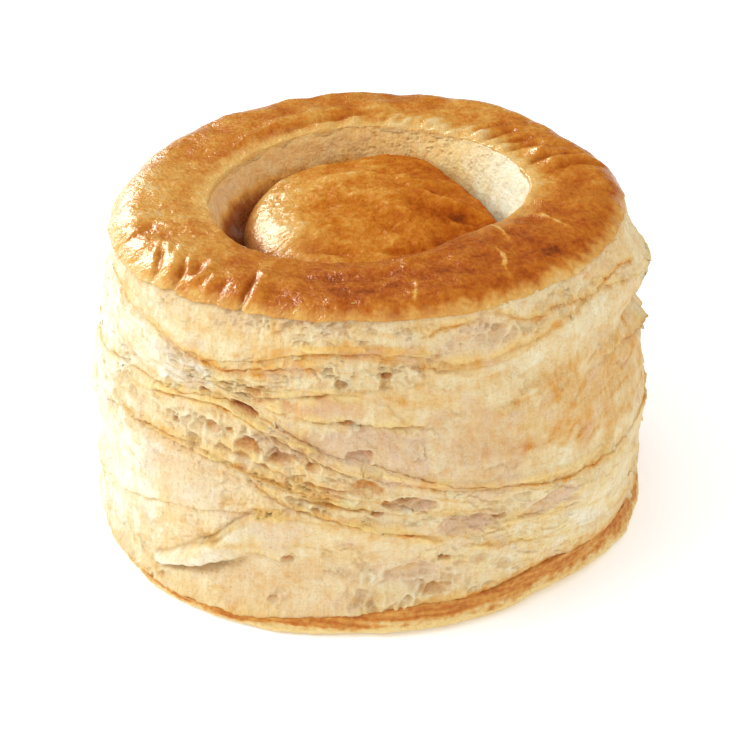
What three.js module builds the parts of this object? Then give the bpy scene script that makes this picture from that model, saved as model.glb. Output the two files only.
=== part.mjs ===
// A baked vol-au-vent case: a tall round of puff pastry, pale and flaky round the side, with a thin
// browned foot, a swollen glazed rim on top and a shallow well whose floor has risen into a browned dome.
// It is one baked piece, so it is one closed solid: a turned outline whose every point is then moved in
// or out, up or down, to follow the uneven leaves of pastry. Millimetres, +Z up, front towards -Y,
// with the origin in the middle of the underside. Angles run anticlockwise from +X, seen from above.
import * as THREE from 'three';
import { mergeVertices } from 'three/addons/utils/BufferGeometryUtils.js';

// Driving dimensions
const FACETS = 90; // steps round the case
const FOOT_HEIGHT = 2.6; // the thin browned layer that lay on the tray
const FOOT_LEDGE = 0.6; // how far the foot stands out past the leaf above it
const UNDERSIDE_INSET = 1.7; // how far the flat underside stays inside the foot's edge
const RIM_RADIUS = 34.5; // outer edge of the glazed rim
const RIM_HEIGHT = 46.4; // the rim's crest above the tray, on average
const RIM_TILT = 0.9; // the crest is this much higher at RIM_TILT_AT, and lower opposite
const RIM_TILT_AT = 20;
const RIM_WAVE = 0.25; // four gentle waves round the crest
const RIM_OVERHANG = 0.3; // the glazed edge beyond the leaf below it
const RIM_EDGE_LIFT = 0.5; // the glazed edge above its seam
const RIM_INNER_DROP = 0.7; // the crest above the lip of the well
const RIM_CREST_AT = 0.36; // share of the way from the rim's outer edge to the well
const RIM_FULLNESS = 2.4; // 1 would be a flat slope each way from the crest, more is rounder
const WELL_RADIUS = 21.4;
const WELL_TAPER = 1.6; // how much narrower the well is at the bottom of its wall
const WELL_LIP_ROUNDING = 2.4; // height over which the wall turns down from the lip
const MOAT_HEIGHT = 38.2; // the bottom of the gap between the wall and the dome
const DOME_RADIUS = 18;
const DOME_HEIGHT = 42.2;
const DOME_SWELL = 0.9; // the dome's middle above its shoulder
const DOME_SHOULDER = 1.2; // height of the shoulder's round
const CREASE_DEPTH = 0.9; // how far the seam between two leaves cuts in

// The side without its leaves: radius at a height, from the tray up to the glazed rim.
const SIDE = [
  [0, 39.8],
  [1.6, 40],
  [4, 39.5],
  [9, 39.2],
  [16, 39.6],
  [24, 38.6],
  [30, 37.2],
  [38, 36.4],
  [44, 35.1],
  [47, 34.4],
];

// Seams between the leaves, from the foot up to the glazed rim. Each runs round the case at its own
// height and sways: [times round, millimetres, angle of a peak]. lip is how far the free edge of the
// leaf above the seam stands out.
const SEAMS = [
  { height: FOOT_HEIGHT, sways: [[1, 0.6, -50], [2, 1.2, -45]], lip: 0.2 },
  { height: 9.6, sways: [[1, 3.6, -106], [2, 2.7, -99], [3, 1.9, -101]], lip: 0.5 },
  { height: 16.8, sways: [[1, 7, -160], [2, 1.9, -110], [3, 0.6, 42]], lip: 0.3 },
  { height: 22.8, sways: [[1, 5.2, -156], [2, 2.4, -120], [3, 1.3, 2]], lip: 0.8 },
  { height: 38.7, sways: [[1, 0.6, 99], [6, 1.6, -96]], lip: 0.5 },
  { height: 44.1, sways: [[1, 1.4, -21], [2, 0.5, -63]], lip: 0.6 },
];
const LIP_END = 0.1; // share of a leaf's height over which its free edge stands out
const LIP_FADE = 0.8; // share of the lip lost by the top of the leaf

// Stations: the shares of a layer's height, or of the way across, where the outline has a point.
const FOOT_STEPS = [[0.12, 0.5], [0.6, 1]]; // share of the foot's height, share of its ledge
const BAND_STEPS = [
  [0, 0.14, 0.45, 0.8],
  [0, 0.14, 0.5],
  [0, 0.16, 0.6],
  [0, 0.06, 0.2, 0.42, 0.64, 0.86],
  [0, 0.14, 0.5],
];
const RIM_STEPS = [0, 0.08, 0.2, RIM_CREST_AT, 0.56, 0.8, 1];
const DOME_SIDE = 0.15; // share of the dome's stations that is its upright side
const DOME_STEPS = [0, DOME_SIDE, 0.26, 0.5, 0.75];
const DOME_ROUNDED_BY = 0.12; // share of the way in where the shoulder's round ends
const DOME_SWOLLEN_BY = 0.9;

// Where the pastry swelled, sank or flaked: angle, height, reach round (degrees), reach up, outwards.
const SWELLS = [
  { angle: -8, height: 38.2, round: 12, up: 3.6, out: 1.9 },
  { angle: -8, height: 32.4, round: 15, up: 1.7, out: -1.1 },
  { angle: -8, height: 27.6, round: 14, up: 1.6, out: 0.9 },
  { angle: 0, height: 44.5, round: 24, up: 3, out: 0.5 },
  { angle: 0, height: 17, round: 34, up: 7, out: 0.5 },
  { angle: 2, height: 3.8, round: 18, up: 3, out: -1.3 },
  { angle: 184, height: 39, round: 26, up: 3.2, out: -1.4 },
  { angle: 184, height: 13.6, round: 26, up: 4, out: -2.2 },
  { angle: 192, height: 2, round: 26, up: 4, out: -0.3 },
  { angle: -119, height: 12.5, round: 8, up: 2.4, out: 1.1 },
  { angle: -62, height: 30, round: 26, up: 6, out: 0.5 },
  { angle: 62, height: 21, round: 20, up: 5, out: 0.6 },
  { angle: 118, height: 31, round: 18, up: 4, out: -0.6 },
  { angle: -124, height: 0, round: 26, up: 5, out: 1.4 },
  { angle: -15, height: 0, round: 20, up: 4, out: 0.8 },
];
// The same for the lip of the well, which has no height of its own.
const WELL_SWELLS = [
  { angle: -50, round: 20, out: -2 },
  { angle: 0, round: 14, out: 1.1 },
  { angle: -150, round: 34, out: 0.9 },
  { angle: 48, round: 22, out: -0.5 },
  { angle: 120, round: 30, out: -1 },
  { angle: -95, round: 24, out: -0.7 },
];
// The gentle unevenness of anything baked: size, waves round the case, twist with height, start.
const UNEVENNESS = [
  { size: 0.3, waves: 3, twist: 0.21, start: 1 },
  { size: 0.22, waves: 5, twist: -0.3, start: 2.4 },
  { size: 0.14, waves: 9, twist: 0.55, start: 0 },
];
// The gap round the dome is open on the left and pinched shut on the right.
const MOAT_SIDE = 175;
const MOAT_OPEN = 0.9;
const MOAT_SHUT = -0.9;

const RADIANS = Math.PI / 180;
const TURN = 2 * Math.PI;
const wrap = (angle) => Math.atan2(Math.sin(angle), Math.cos(angle));
const mix = (a, b, share) => a + (b - a) * share;
const bell = (x) => Math.exp(-x * x);
const rise = (low, high, x) => THREE.MathUtils.smoothstep(x, low, high);

// How much of a swell is felt at an angle, from 0 to 1.
const swellRound = (swell, angle) => bell(wrap(angle - swell.angle * RADIANS) / (swell.round * RADIANS));

// Height of a seam at an angle.
function seamHeight(seam, angle) {
  return seam.sways.reduce(
    (sum, [times, size, peak]) => sum + size * Math.cos(times * (angle - peak * RADIANS)),
    seam.height,
  );
}

function unevenness(angle, height) {
  return UNEVENNESS.reduce(
    (sum, { size, waves, twist, start }) => sum + size * Math.sin(waves * angle + twist * height + start),
    0,
  );
}

function swellsAt(angle, height) {
  return SWELLS.reduce(
    (sum, swell) => sum + swell.out * swellRound(swell, angle) * bell((height - swell.height) / swell.up),
    0,
  );
}

// Radius of the side at a height, read off SIDE with even steps between its points.
function sideRadius(angle, height) {
  const above = Math.max(1, SIDE.findIndex(([z]) => z >= height));
  const [lowZ, lowR] = SIDE[above - 1];
  const [highZ, highR] = SIDE[above];
  const radius = mix(lowR, highR, THREE.MathUtils.clamp((height - lowZ) / (highZ - lowZ), 0, 1));
  return radius + unevenness(angle, height) + swellsAt(angle, height);
}

// The foot bulges out between the tray and the first seam.
function footPoint([share, ledge], angle) {
  const z = share * seamHeight(SEAMS[0], angle);
  return [sideRadius(angle, z) + ledge * FOOT_LEDGE, z];
}

// A leaf between two seams: it stands out at its free lower edge and tucks in under the next one up.
function leafPoint(band, share, angle) {
  const lower = SEAMS[band];
  const upper = SEAMS[band + 1];
  const z = mix(seamHeight(lower, angle), seamHeight(upper, angle), share);
  const standsOut = lower.lip * rise(0, LIP_END, share) * (1 - LIP_FADE * share);
  const crease = share === 0 ? CREASE_DEPTH : 0;
  return [sideRadius(angle, z) + standsOut - crease, z];
}

function rimOuterRadius(angle) {
  return RIM_RADIUS + unevenness(angle, RIM_HEIGHT);
}

function rimCrestHeight(angle) {
  return RIM_HEIGHT + RIM_TILT * Math.cos(angle - RIM_TILT_AT * RADIANS) + RIM_WAVE * Math.sin(4 * angle);
}

function wellRadius(angle) {
  return WELL_SWELLS.reduce((sum, swell) => sum + swell.out * swellRound(swell, angle), WELL_RADIUS);
}

// The glazed rim, from its overhanging outer edge (share 0) over the crest to the lip of the well (1).
function rimPoint(share, angle) {
  const edge = seamHeight(SEAMS.at(-1), angle) + RIM_EDGE_LIFT;
  const crest = rimCrestHeight(angle);
  const lip = crest - RIM_INNER_DROP;
  const radius = mix(rimOuterRadius(angle) + RIM_OVERHANG, wellRadius(angle), share);
  const fromCrest = share < RIM_CREST_AT
    ? (RIM_CREST_AT - share) / RIM_CREST_AT
    : (share - RIM_CREST_AT) / (1 - RIM_CREST_AT);
  const end = share < RIM_CREST_AT ? edge : lip;
  return [radius, mix(crest, end, fromCrest ** RIM_FULLNESS)];
}

function wallFootRadius(angle) {
  return wellRadius(angle) - WELL_TAPER;
}

function domeRadius(angle) {
  const openShare = (1 + Math.cos(angle - MOAT_SIDE * RADIANS)) / 2;
  return DOME_RADIUS - mix(MOAT_SHUT, MOAT_OPEN, openShare);
}

// The browned dome: a pillow with a round shoulder, share 0 at the foot of its side and 1 in the middle.
function domePoint(share, angle) {
  const shoulder = DOME_HEIGHT - DOME_SWELL;
  if (share < DOME_SIDE) {
    return [domeRadius(angle), MOAT_HEIGHT + DOME_SHOULDER / 2];
  }
  const inward = (share - DOME_SIDE) / (1 - DOME_SIDE);
  const rounding = DOME_SHOULDER * (1 - rise(0, DOME_ROUNDED_BY, inward));
  const swelling = DOME_SWELL * rise(0, DOME_SWOLLEN_BY, inward);
  return [domeRadius(angle) * (1 - inward), shoulder - rounding + swelling];
}

// Every station of the outline, in order from the middle of the underside, round the outside and over
// the rim, down to the dome's middle. Each gives [radius, height] at an angle.
const outline = [
  () => [0, 0],
  (angle) => [sideRadius(angle, 0) / 2, 0],
  (angle) => [sideRadius(angle, 0) - UNDERSIDE_INSET, 0],
  ...FOOT_STEPS.map((step) => (angle) => footPoint(step, angle)),
  ...BAND_STEPS.flatMap((steps, band) => steps.map((share) => (angle) => leafPoint(band, share, angle))),
  (angle) => [rimOuterRadius(angle) - CREASE_DEPTH / 2, seamHeight(SEAMS.at(-1), angle)],
  ...RIM_STEPS.map((share) => (angle) => rimPoint(share, angle)),
  (angle) => [mix(wellRadius(angle), wallFootRadius(angle), 0.5), rimCrestHeight(angle) - WELL_LIP_ROUNDING],
  (angle) => [wallFootRadius(angle), MOAT_HEIGHT + 1],
  (angle) => [mix(wallFootRadius(angle), domeRadius(angle), 0.5), MOAT_HEIGHT],
  ...DOME_STEPS.map((share) => (angle) => domePoint(share, angle)),
  () => [0, DOME_HEIGHT],
];

// A turned blank with one row of vertices for each station; its own radii don't matter, because every
// vertex is then set from its station and its angle.
function bakedCase() {
  const blank = outline.map((station) => new THREE.Vector2(...station(0)));
  const turned = new THREE.LatheGeometry(blank, FACETS);
  const position = turned.getAttribute('position');
  for (let i = 0; i < position.count; i += 1) {
    const step = Math.floor(i / outline.length) % FACETS;
    const angle = (step / FACETS) * TURN;
    const [radius, height] = outline[i % outline.length](angle);
    position.setXYZ(i, radius * Math.cos(angle), radius * Math.sin(angle), height);
  }
  turned.deleteAttribute('normal');
  turned.deleteAttribute('uv');
  return mergeVertices(turned, 1e-4);
}

const bakedPastry = new THREE.MeshStandardMaterial({ color: 0xe2bf86, roughness: 0.6, metalness: 0 });

const pastryCase = new THREE.Mesh(bakedCase(), bakedPastry);
pastryCase.name = 'pastry_case';

const volAuVent = new THREE.Group();
volAuVent.add(pastryCase);

export default volAuVent;
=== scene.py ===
"""A baked vol-au-vent case: leaf upon leaf of pale puff pastry on a browned foot, under a glazed rim round
a shallow well with a browned dome. Shapes are worked out in millimetres and written to meshes in metres.
Angles are in degrees, anticlockwise from +X seen from above, so the front is at -90. Places on the side are
(girth, height): girth is the angle counted in millimetres round a case of radius 39."""

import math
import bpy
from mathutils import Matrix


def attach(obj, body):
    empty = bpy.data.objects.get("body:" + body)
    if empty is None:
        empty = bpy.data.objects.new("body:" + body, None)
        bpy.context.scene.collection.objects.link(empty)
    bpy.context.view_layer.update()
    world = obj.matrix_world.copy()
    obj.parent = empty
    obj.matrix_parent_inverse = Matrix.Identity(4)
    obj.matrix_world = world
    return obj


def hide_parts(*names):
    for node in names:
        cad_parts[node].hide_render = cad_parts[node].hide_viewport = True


bl_info = {
    "name": "Vol-au-vent case",
    "version": (1, 0, 0),
    "blender": (4, 5, 0),
    "location": "3D View > Sidebar > Pastry",
    "description": "A tall flaky pastry case with a browned foot, a glazed rim and a domed well",
    "category": "Add Mesh",
}

from collections import namedtuple

import bmesh
import bpy
import numpy as np
from bpy.props import FloatProperty, FloatVectorProperty, IntProperty, PointerProperty
from mathutils import Vector

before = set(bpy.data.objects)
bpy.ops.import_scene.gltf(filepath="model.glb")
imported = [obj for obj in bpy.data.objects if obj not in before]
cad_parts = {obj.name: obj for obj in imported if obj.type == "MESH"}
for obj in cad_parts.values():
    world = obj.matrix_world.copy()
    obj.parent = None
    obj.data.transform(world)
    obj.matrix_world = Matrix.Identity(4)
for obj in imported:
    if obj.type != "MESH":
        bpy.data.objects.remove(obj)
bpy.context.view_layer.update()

MM = 0.001
TURN = 2 * math.pi
GIRTH = TURN * 39.0  # millimetres once round the side
PER_DEGREE = GIRTH / 360
FRONT_CROWDING = 0.36  # how much closer together the columns of points stand at the front

# The side without its leaves: radius at a height.
SIDE = [(0, 39.8), (1.6, 40), (4, 39.5), (9, 39.2), (16, 39.6), (24, 38.6), (30, 37.2), (38, 36.4),
        (44, 35.1), (47, 34.4)]


def each(kind, rows):
    """One of that kind for each row of values."""
    return [kind(*row) for row in rows]


# Where the pastry swelled, sank or flaked: angle, height, reach round (degrees), reach up, outwards.
Swell = namedtuple("Swell", "angle height round up out")
SWELLS = each(Swell, [
    (-8, 38.2, 12, 3.6, 1.9), (-8, 32.4, 15, 1.7, -1.1), (-8, 27.6, 14, 1.6, 0.9), (0, 44.5, 24, 3, 0.5),
    (0, 17, 34, 7, 0.5), (2, 3.8, 18, 3, -1.3), (184, 39, 26, 3.2, -1.4), (184, 13.6, 26, 4, -2.2),
    (192, 2, 26, 4, -0.3), (-119, 12.5, 8, 2.4, 1.1), (-62, 30, 26, 6, 0.5), (62, 21, 20, 5, 0.6),
    (118, 31, 18, 4, -0.6), (-124, 0, 26, 5, 1.4), (-15, 0, 20, 4, 0.8), (29, 46, 13, 3.6, -1.1),
])

# Seams between the leaves, from the foot up to the glazed rim. A seam sways round the case by waves of
# (times round, millimetres, angle of a peak), and bends at places of its own (angle, reach, millimetres).
# The free edge at it belongs to the leaf above ("down") or to the leaf below ("up").
Seam = namedtuple("Seam", "height sways free bends", defaults=((),))
SEAMS = each(Seam, [
    (2.6, [(1, 0.6, -50), (2, 1.2, -45)], "down", [(-84, 10, 0.8), (-52, 9, 1.2), (0, 14, -0.8)]),
    (9.6, [(1, 3.6, -106), (2, 2.7, -99), (3, 1.9, -101)], "down"),
    (16.8, [(1, 7, -160), (2, 1.9, -110), (3, 0.6, 42)], "down"),
    (22.8, [(1, 5.2, -156), (2, 2.4, -120), (3, 1.3, 2)], "up", [(-118, 9, 1.7), (-97, 6, -0.8)]),
    (39.3, [(1, 0.4, 99), (6, 1.7, -95)], "down"),
    (44.1, [(1, 1.4, -21), (2, 0.5, -63)], "down", [(-138, 18, 0.4)]),
])
FOOT, RIM = 0, len(SEAMS) - 1  # the lowest and the highest seam
# Rows and columns of points on each leaf between two seams, from the foot up
LEAF_GRIDS = [(76, 960), (62, 1000), (54, 1000), (98, 940), (54, 960)]

# Ends of a leaf's cross-section: millimetres inwards and past the end, from inside to the face
FREE_END = [(2.4, -0.6), (0.9, -0.14), (0.22, 0.05)]
TUCKED_END = [(2.6, 1.5), (0.9, 1.2), (0.45, 0.5)]
GLAZED_END = [(2.8, 0.4), (1.6, 0.25), (0.7, 0.12)]


def bell(x):
    """1 at 0, falling smoothly to nothing on both sides."""
    return np.exp(-x * x)


def rise(low, high, x):
    """0 below low, 1 above high and smooth between; low may be the larger, which turns it round."""
    share = np.clip((x - low) / (high - low), 0, 1)
    return share * share * (3 - 2 * share)


def mix(a, b, share):
    """a, moved towards b by a share of the way."""
    return a + (b - a) * share


def turn_between(angle, other):
    """The way round to each angle from the other, from -180 to 180 degrees."""
    return (angle - other + 180) % 360 - 180


def wave_sum(angle, base, sways):
    """base swayed by waves of (times round, size, angle of a peak)."""
    return base + sum(size * np.cos(np.radians(times * (angle - peak))) for times, size, peak in sways)


def swell_sum(swells, angle, height):
    """How far the swells stand out there, all together."""
    total = 0.0
    for swell in swells:
        round_it = bell(turn_between(angle, swell.angle) / swell.round)
        total = total + swell.out * round_it * bell((height - swell.height) / swell.up)
    return total


def seam_height(index, angle):
    """The seam's height at each angle."""
    bends = sum(up * bell(turn_between(angle, at) / reach) for at, reach, up in SEAMS[index].bends)
    return wave_sum(angle, SEAMS[index].height, SEAMS[index].sways) + bends


def unevenness(angle, height):
    """The gentle unevenness of anything baked."""
    turned = np.radians(angle)
    return (0.3 * np.sin(3 * turned + 0.21 * height + 1)
            + 0.22 * np.sin(5 * turned - 0.3 * height + 2.4)
            + 0.14 * np.sin(9 * turned + 0.55 * height))


def side_radius(angle, height):
    """The side's radius without its skin."""
    plain = np.interp(height, *zip(*SIDE)) + unevenness(angle, height)
    return plain + swell_sum(SWELLS, angle, height)


# Noise: the same smooth randomness at every run

DRAW = np.random.default_rng(11)
SHUFFLE = DRAW.permutation(256)
HEADING = DRAW.random(256) * TURN
SLOPE_X, SLOPE_Y = np.cos(HEADING).astype(np.float32), np.sin(HEADING).astype(np.float32)
PICKS = DRAW.random((256, 3)).astype(np.float32)


def noise(x, y, wide, high, seed=0):
    """Smooth noise from about -1 to 1 in lumps of wide by high millimetres. It closes once round the side."""
    count = max(round(GIRTH / wide), 1)
    x = x * np.float32(count / GIRTH)
    y = y * np.float32(1 / high) + np.float32(seed * 7.31)
    left, low = np.floor(x), np.floor(y)
    across, up = x - left, y - low
    column, row = left.astype(np.int32), low.astype(np.int32)
    total = 0
    for step_x in (0, 1):
        start = SHUFFLE[(column + step_x) % count & 255] + row
        from_x = across - step_x
        inner = 0
        for step_y in (0, 1):
            pick = SHUFFLE[start + step_y & 255]
            slope = SLOPE_X[pick] * from_x + SLOPE_Y[pick] * (up - step_y)
            ease_y = up ** 3 * (up * (up * 6 - 15) + 10)
            inner = inner + slope * (ease_y if step_y else 1 - ease_y)
        ease_x = across ** 3 * (across * (across * 6 - 15) + 10)
        total = total + inner * (ease_x if step_x else 1 - ease_x)
    return total * 1.5


def girth_noise(girth, wide, seed):
    """Noise that changes only along the girth."""
    return noise(girth, 0 * girth, wide, 1, seed)


def cells(x, y, wide, high, seed=0):
    """Cells of about wide by high millimetres: how near each point is to its cell's border (0 there), a
    number from 0 to 1 for its cell, and how far it is above its cell's middle, in cells."""
    count = round(GIRTH / wide)
    x, y = x * np.float32(count / GIRTH), y * np.float32(1 / high)
    column, row = np.floor(x).astype(np.int32), np.floor(y).astype(np.int32)
    nearest, second = np.full(x.shape, 9, np.float32), np.full(x.shape, 9, np.float32)
    pick, above = np.zeros(x.shape, np.float32), np.zeros(x.shape, np.float32)
    for across in (-1, 0, 1):
        start = SHUFFLE[(column + across) % count & 255] + seed + row
        for up in (-1, 0, 1):
            drawn = PICKS[SHUFFLE[start + up & 255]]
            over = y - row - up - drawn[:, 1]
            distance = np.hypot(column + across + drawn[:, 0] - x, over)
            closer = distance < nearest
            second = np.where(closer, nearest, np.minimum(second, distance))
            pick = np.where(closer, drawn[:, 2], pick)
            above = np.where(closer, over, above)
            nearest = np.where(closer, distance, nearest)
    return second - nearest, pick, above


# Skin: what one stretch of surface is like at each of its points

# Two finishes are painted shade: the one for folds and the one for holes of the crumb only darken the colour
# where shade falls.
FINISHES = ("bake", "crease", "pore", "blush", "butter")


class Skin:
    """A stretch of surface: how far each point stands out from the plain shape, in millimetres, and its
    finishes from 0 to 1: bake (whitish cream to dark brown), the painted shade of a fold, the painted shade
    of a hole in the crumb, blush (a thin pinkish skin) and butter (a yellow buttery edge). x and y are girth
    and height, or a place in plan."""

    def __init__(self, x, y, flow=None):
        self.x, self.y = x.astype(np.float32), y.astype(np.float32)
        self.flow = self.y if flow is None else flow.astype(np.float32)
        self.out = np.zeros(x.shape, np.float32)
        for finish in FINISHES:
            setattr(self, finish, np.zeros(x.shape, np.float32))

    def noise(self, wide, high, seed):
        return noise(self.x, self.y, wide, high, seed)

    def noises(self, *terms):
        """Noises added up, each given as (strength, wide, high, seed)."""
        return sum(strength * self.noise(*lumps) for strength, *lumps in terms)

    def leafy(self, wide, high, seed):
        """Noise that runs along the leaves."""
        return noise(self.x, self.flow, wide, high, seed)

    def part(self, inside):
        """The skin's points where inside is true, as a skin of their own."""
        return Skin(self.x[inside], self.y[inside], self.flow[inside])

    def add(self, inside, some):
        """Adds what some, the skin of the points where inside is true, has gained."""
        self.out[inside] += some.out
        for finish in FINISHES:
            getattr(self, finish)[inside] += getattr(some, finish)

    def angle(self):
        return self.x / PER_DEGREE

    def within(self, middle, reach, low, high):
        """Whether each point is within reach degrees of the middle, and between two heights."""
        near = np.abs(turn_between(self.angle(), middle)) < reach
        return near & (self.y > low) & (self.y < high)

    def zones(self, patches, torn):
        """How far each point is inside some patches, from 0 to 1; torn is what frays their borders."""
        total = np.zeros(self.x.shape, np.float32)
        angle = self.angle()
        for patch in patches:
            across = turn_between(angle, patch.angle) / patch.round
            up = (self.y - patch.height) / patch.up
            total = np.maximum(total, patch.out * rise(1.3, 0.7, np.hypot(across, up) + torn))
        return total

    def sheets(self, field, steps, thick, strength):
        """Cuts a smooth field into thin sheets, each lapping over the next with a torn edge."""
        scaled = field * steps
        share = scaled - np.floor(scaled)
        self.out += thick * strength * (rise(0, 0.14, share) - share - 0.5)
        self.bake += 0.05 * strength * bell((share - 0.16) / 0.1)
        # Painted shade at the foot of each step, where the next sheet laps over it.
        self.crease += 0.12 * strength * (rise(0.86, 0.99, share) + rise(0.05, 0, share))

    def crumb(self, zone, wide, high, deep, seed):
        """Open crumb: bubbles of all sizes between thin pale walls, with painted shade in them, darkest under
        their upper edges.
        """
        inside = zone > 0.03
        some, shown = self.part(inside), zone[inside]
        bent_x = some.x + 0.4 * wide * some.noise(1.5 * wide, 1.5 * high, seed)
        bent_y = some.flow + 0.4 * high * some.noise(1.3 * wide, 1.3 * high, seed + 1)
        border, pick, above = cells(bent_x, bent_y, wide, high, seed)
        hole = shown * rise(0.3, 0.6, pick) * rise(0.05, 0.4, border)
        some.out += 0.1 * shown * bell(border / 0.12) - deep * hole * (0.5 + pick)
        # Painted shade in the holes, darkest under their upper edges.
        some.pore += hole * (0.22 + 0.55 * rise(-0.1, 0.45, above))
        some.blush += 0.12 * hole
        some.bake -= 0.05 * shown * bell(border / 0.12)
        self.add(inside, some)

    def films(self, zone, wide, high, seed):
        """Thin pale strands, mostly upright, left where skins of pastry tore apart, with painted shade beside
        them.
        """
        inside = zone > 0.03
        some, shown = self.part(inside), zone[inside]
        bent = some.x + 0.7 * some.noise(2.6, 2.2, seed + 1)
        strand = bell(noise(bent, some.y, wide, high, seed) / 0.1)
        strand = strand * rise(-0.2, 0.3, some.noise(3, 2.6, seed + 2))
        some.out += 0.26 * shown * strand
        some.bake -= 0.12 * shown * strand
        # Painted shade beside the strands.
        some.crease += 0.12 * shown * (1 - strand)
        self.add(inside, some)

    def beside(self, path, past, below, above):
        """What lies beside a path of (angle, height): which points, their skin, how far each is round from
        the path's middle, half the path's length in degrees, and the path's height there."""
        angles, heights = np.array(path).T
        middle, reach = (angles[0] + angles[-1]) / 2, (angles[-1] - angles[0]) / 2
        inside = self.within(middle, reach + past, heights.min() - below, heights.max() + above)
        some = self.part(inside)
        turned = turn_between(some.angle(), middle)
        line = sum(np.interp(turned + blur, angles - middle, heights) for blur in (-1, 0, 1)) / 3
        return inside, some, turned, reach, line

    def edge(self, edge):
        """The free edge of a thin leaf along a path: it stands out on its own side, with a fold past it that
        gets painted shade.
        """
        inside, some, turned, reach, line = self.beside(edge.path, 1.5, 3, 3.5)
        line = line + 0.22 * girth_noise(some.x, 3.1, 50) + 0.2 * some.noise(0.9, 0.9, 51)
        shown = rise(reach + 1, reach - 3, np.abs(turned))
        shown = shown * rise(-0.85, -0.2, some.noise(4.3, 30, 52) + 0.3 * some.noise(1.2, 2, 53))
        side = (some.y - line) * (1 if edge.free == "down" else -1)
        step = rise(-0.16, 0.08, side)
        standing = step * np.exp(-np.maximum(side, 0) / edge.reach) * rise(2.9, 1.6, side)
        folded_in = (1 - step) * np.exp(np.minimum(side, 0) / 0.45)
        some.out += shown * edge.out * (standing - folded_in)
        uneven = mix(0.7, 1.2, rise(-0.4, 0.4, some.noise(2.4, 1.2, 54)))
        # Just past the edge: a brown line that is partly the edge's own browning and partly painted shadow
        # under it.
        some.bake += 0.68 * shown * edge.tone * uneven * bell((side + 0.1) / (1.5 * edge.width))
        some.butter += 0.55 * shown * rise(-0.4, 0.4, some.noise(5, 1.5, 58)) * bell((side - 0.4) / 0.55)
        # Painted shade in the fold.
        some.crease += 0.85 * shown * edge.shade * uneven * bell((side + 0.2) / 0.26)
        self.add(inside, some)

    def roll(self, roll):
        """A rounded lip along a path, where a leaf curls over, with a fold under it; painted shade goes in
        the fold and along the lip's top.
        """
        inside, some, turned, reach, line = self.beside(roll.path, 2, 4, 4)
        line = line + 0.25 * girth_noise(some.x, 4, 55)
        along = (turned + reach) / (2 * reach)
        half = mix(roll.thin, roll.thick, np.clip(along, 0, 1)) * (1 + 0.25 * girth_noise(some.x, 3, 56))
        shown = rise(-0.04, 0.06, along) * rise(1.04, 0.94 if roll.thick < 2 else 0.6, along)
        off = (some.y - line) / half + 0.1 * some.noise(1, 1, 57)
        round_it = np.sqrt(np.clip(1 - off * off, 0, 1))
        under = bell((off + 1.2) / 0.3)
        some.out += shown * roll.out * np.minimum(half, 1.6) * (round_it - 0.5 * under)
        some.bake += shown * roll.tone * rise(0, 0.7, round_it) * mix(0.6, 1.2, rise(-0.4, 0.8, -off))
        patchy = mix(0.4, 1, rise(-0.4, 0.4, some.noise(5, 1.5, 59)))
        some.butter += shown * roll.yellow * rise(0, 0.6, round_it) * patchy
        # Painted shade under the lip and along its top.
        some.crease += shown * roll.shade * (under + 0.5 * bell((off - 1.15) / 0.25))
        self.add(inside, some)

    def hollow(self, hollow):
        """A bubble that broke open: a hollow with a torn pale border, with painted shade inside that is
        darkest under its upper edge.
        """
        size = max(hollow.wide, hollow.high) * 1.8
        inside = self.within(hollow.angle, size / PER_DEGREE, hollow.height - size, hollow.height + size)
        some = self.part(inside)
        across = turn_between(some.angle(), hollow.angle) * PER_DEGREE
        up = some.y - hollow.height
        lean = math.radians(hollow.lean)
        along = across * math.cos(lean) + up * math.sin(lean)
        over = up * math.cos(lean) - across * math.sin(lean)
        frayed = some.noises((0.45, 2.2, 1.7, 60), (0.3, 0.9, 0.8, 61))
        near = (along / hollow.wide) ** 2 + (over / hollow.high) ** 2 + frayed
        depth = np.clip(1 - near, 0, 1)
        under_top = rise(-0.9, 0.9, over / hollow.high - 0.3 * along / hollow.wide)
        some.out -= hollow.deep * np.sqrt(depth) * mix(0.5, 1.1, under_top)
        # Inside, the hollow is browner, partly its own colour; the darkening, strongest under its upper edge,
        # is painted shade, and it is less pink there.
        some.bake += hollow.tone * rise(0, 0.5, depth) * mix(0.5, 1, under_top)
        some.blush += 0.3 * rise(0, 0.4, depth) * mix(1, 0.4, under_top)
        some.pore += hollow.shade * rise(0, 0.4, depth) * mix(0.15, 1, under_top)
        some.out += 0.15 * bell((near - 1.25) / 0.4)
        some.bake -= 0.05 * bell((near - 1.2) / 0.3)
        self.add(inside, some)


Edge = namedtuple("Edge", "path free out reach tone width shade")
Roll = namedtuple("Roll", "path thin thick out tone shade yellow", defaults=(0.3,))
Hollow = namedtuple("Hollow", "angle height wide high lean deep tone shade")

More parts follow.
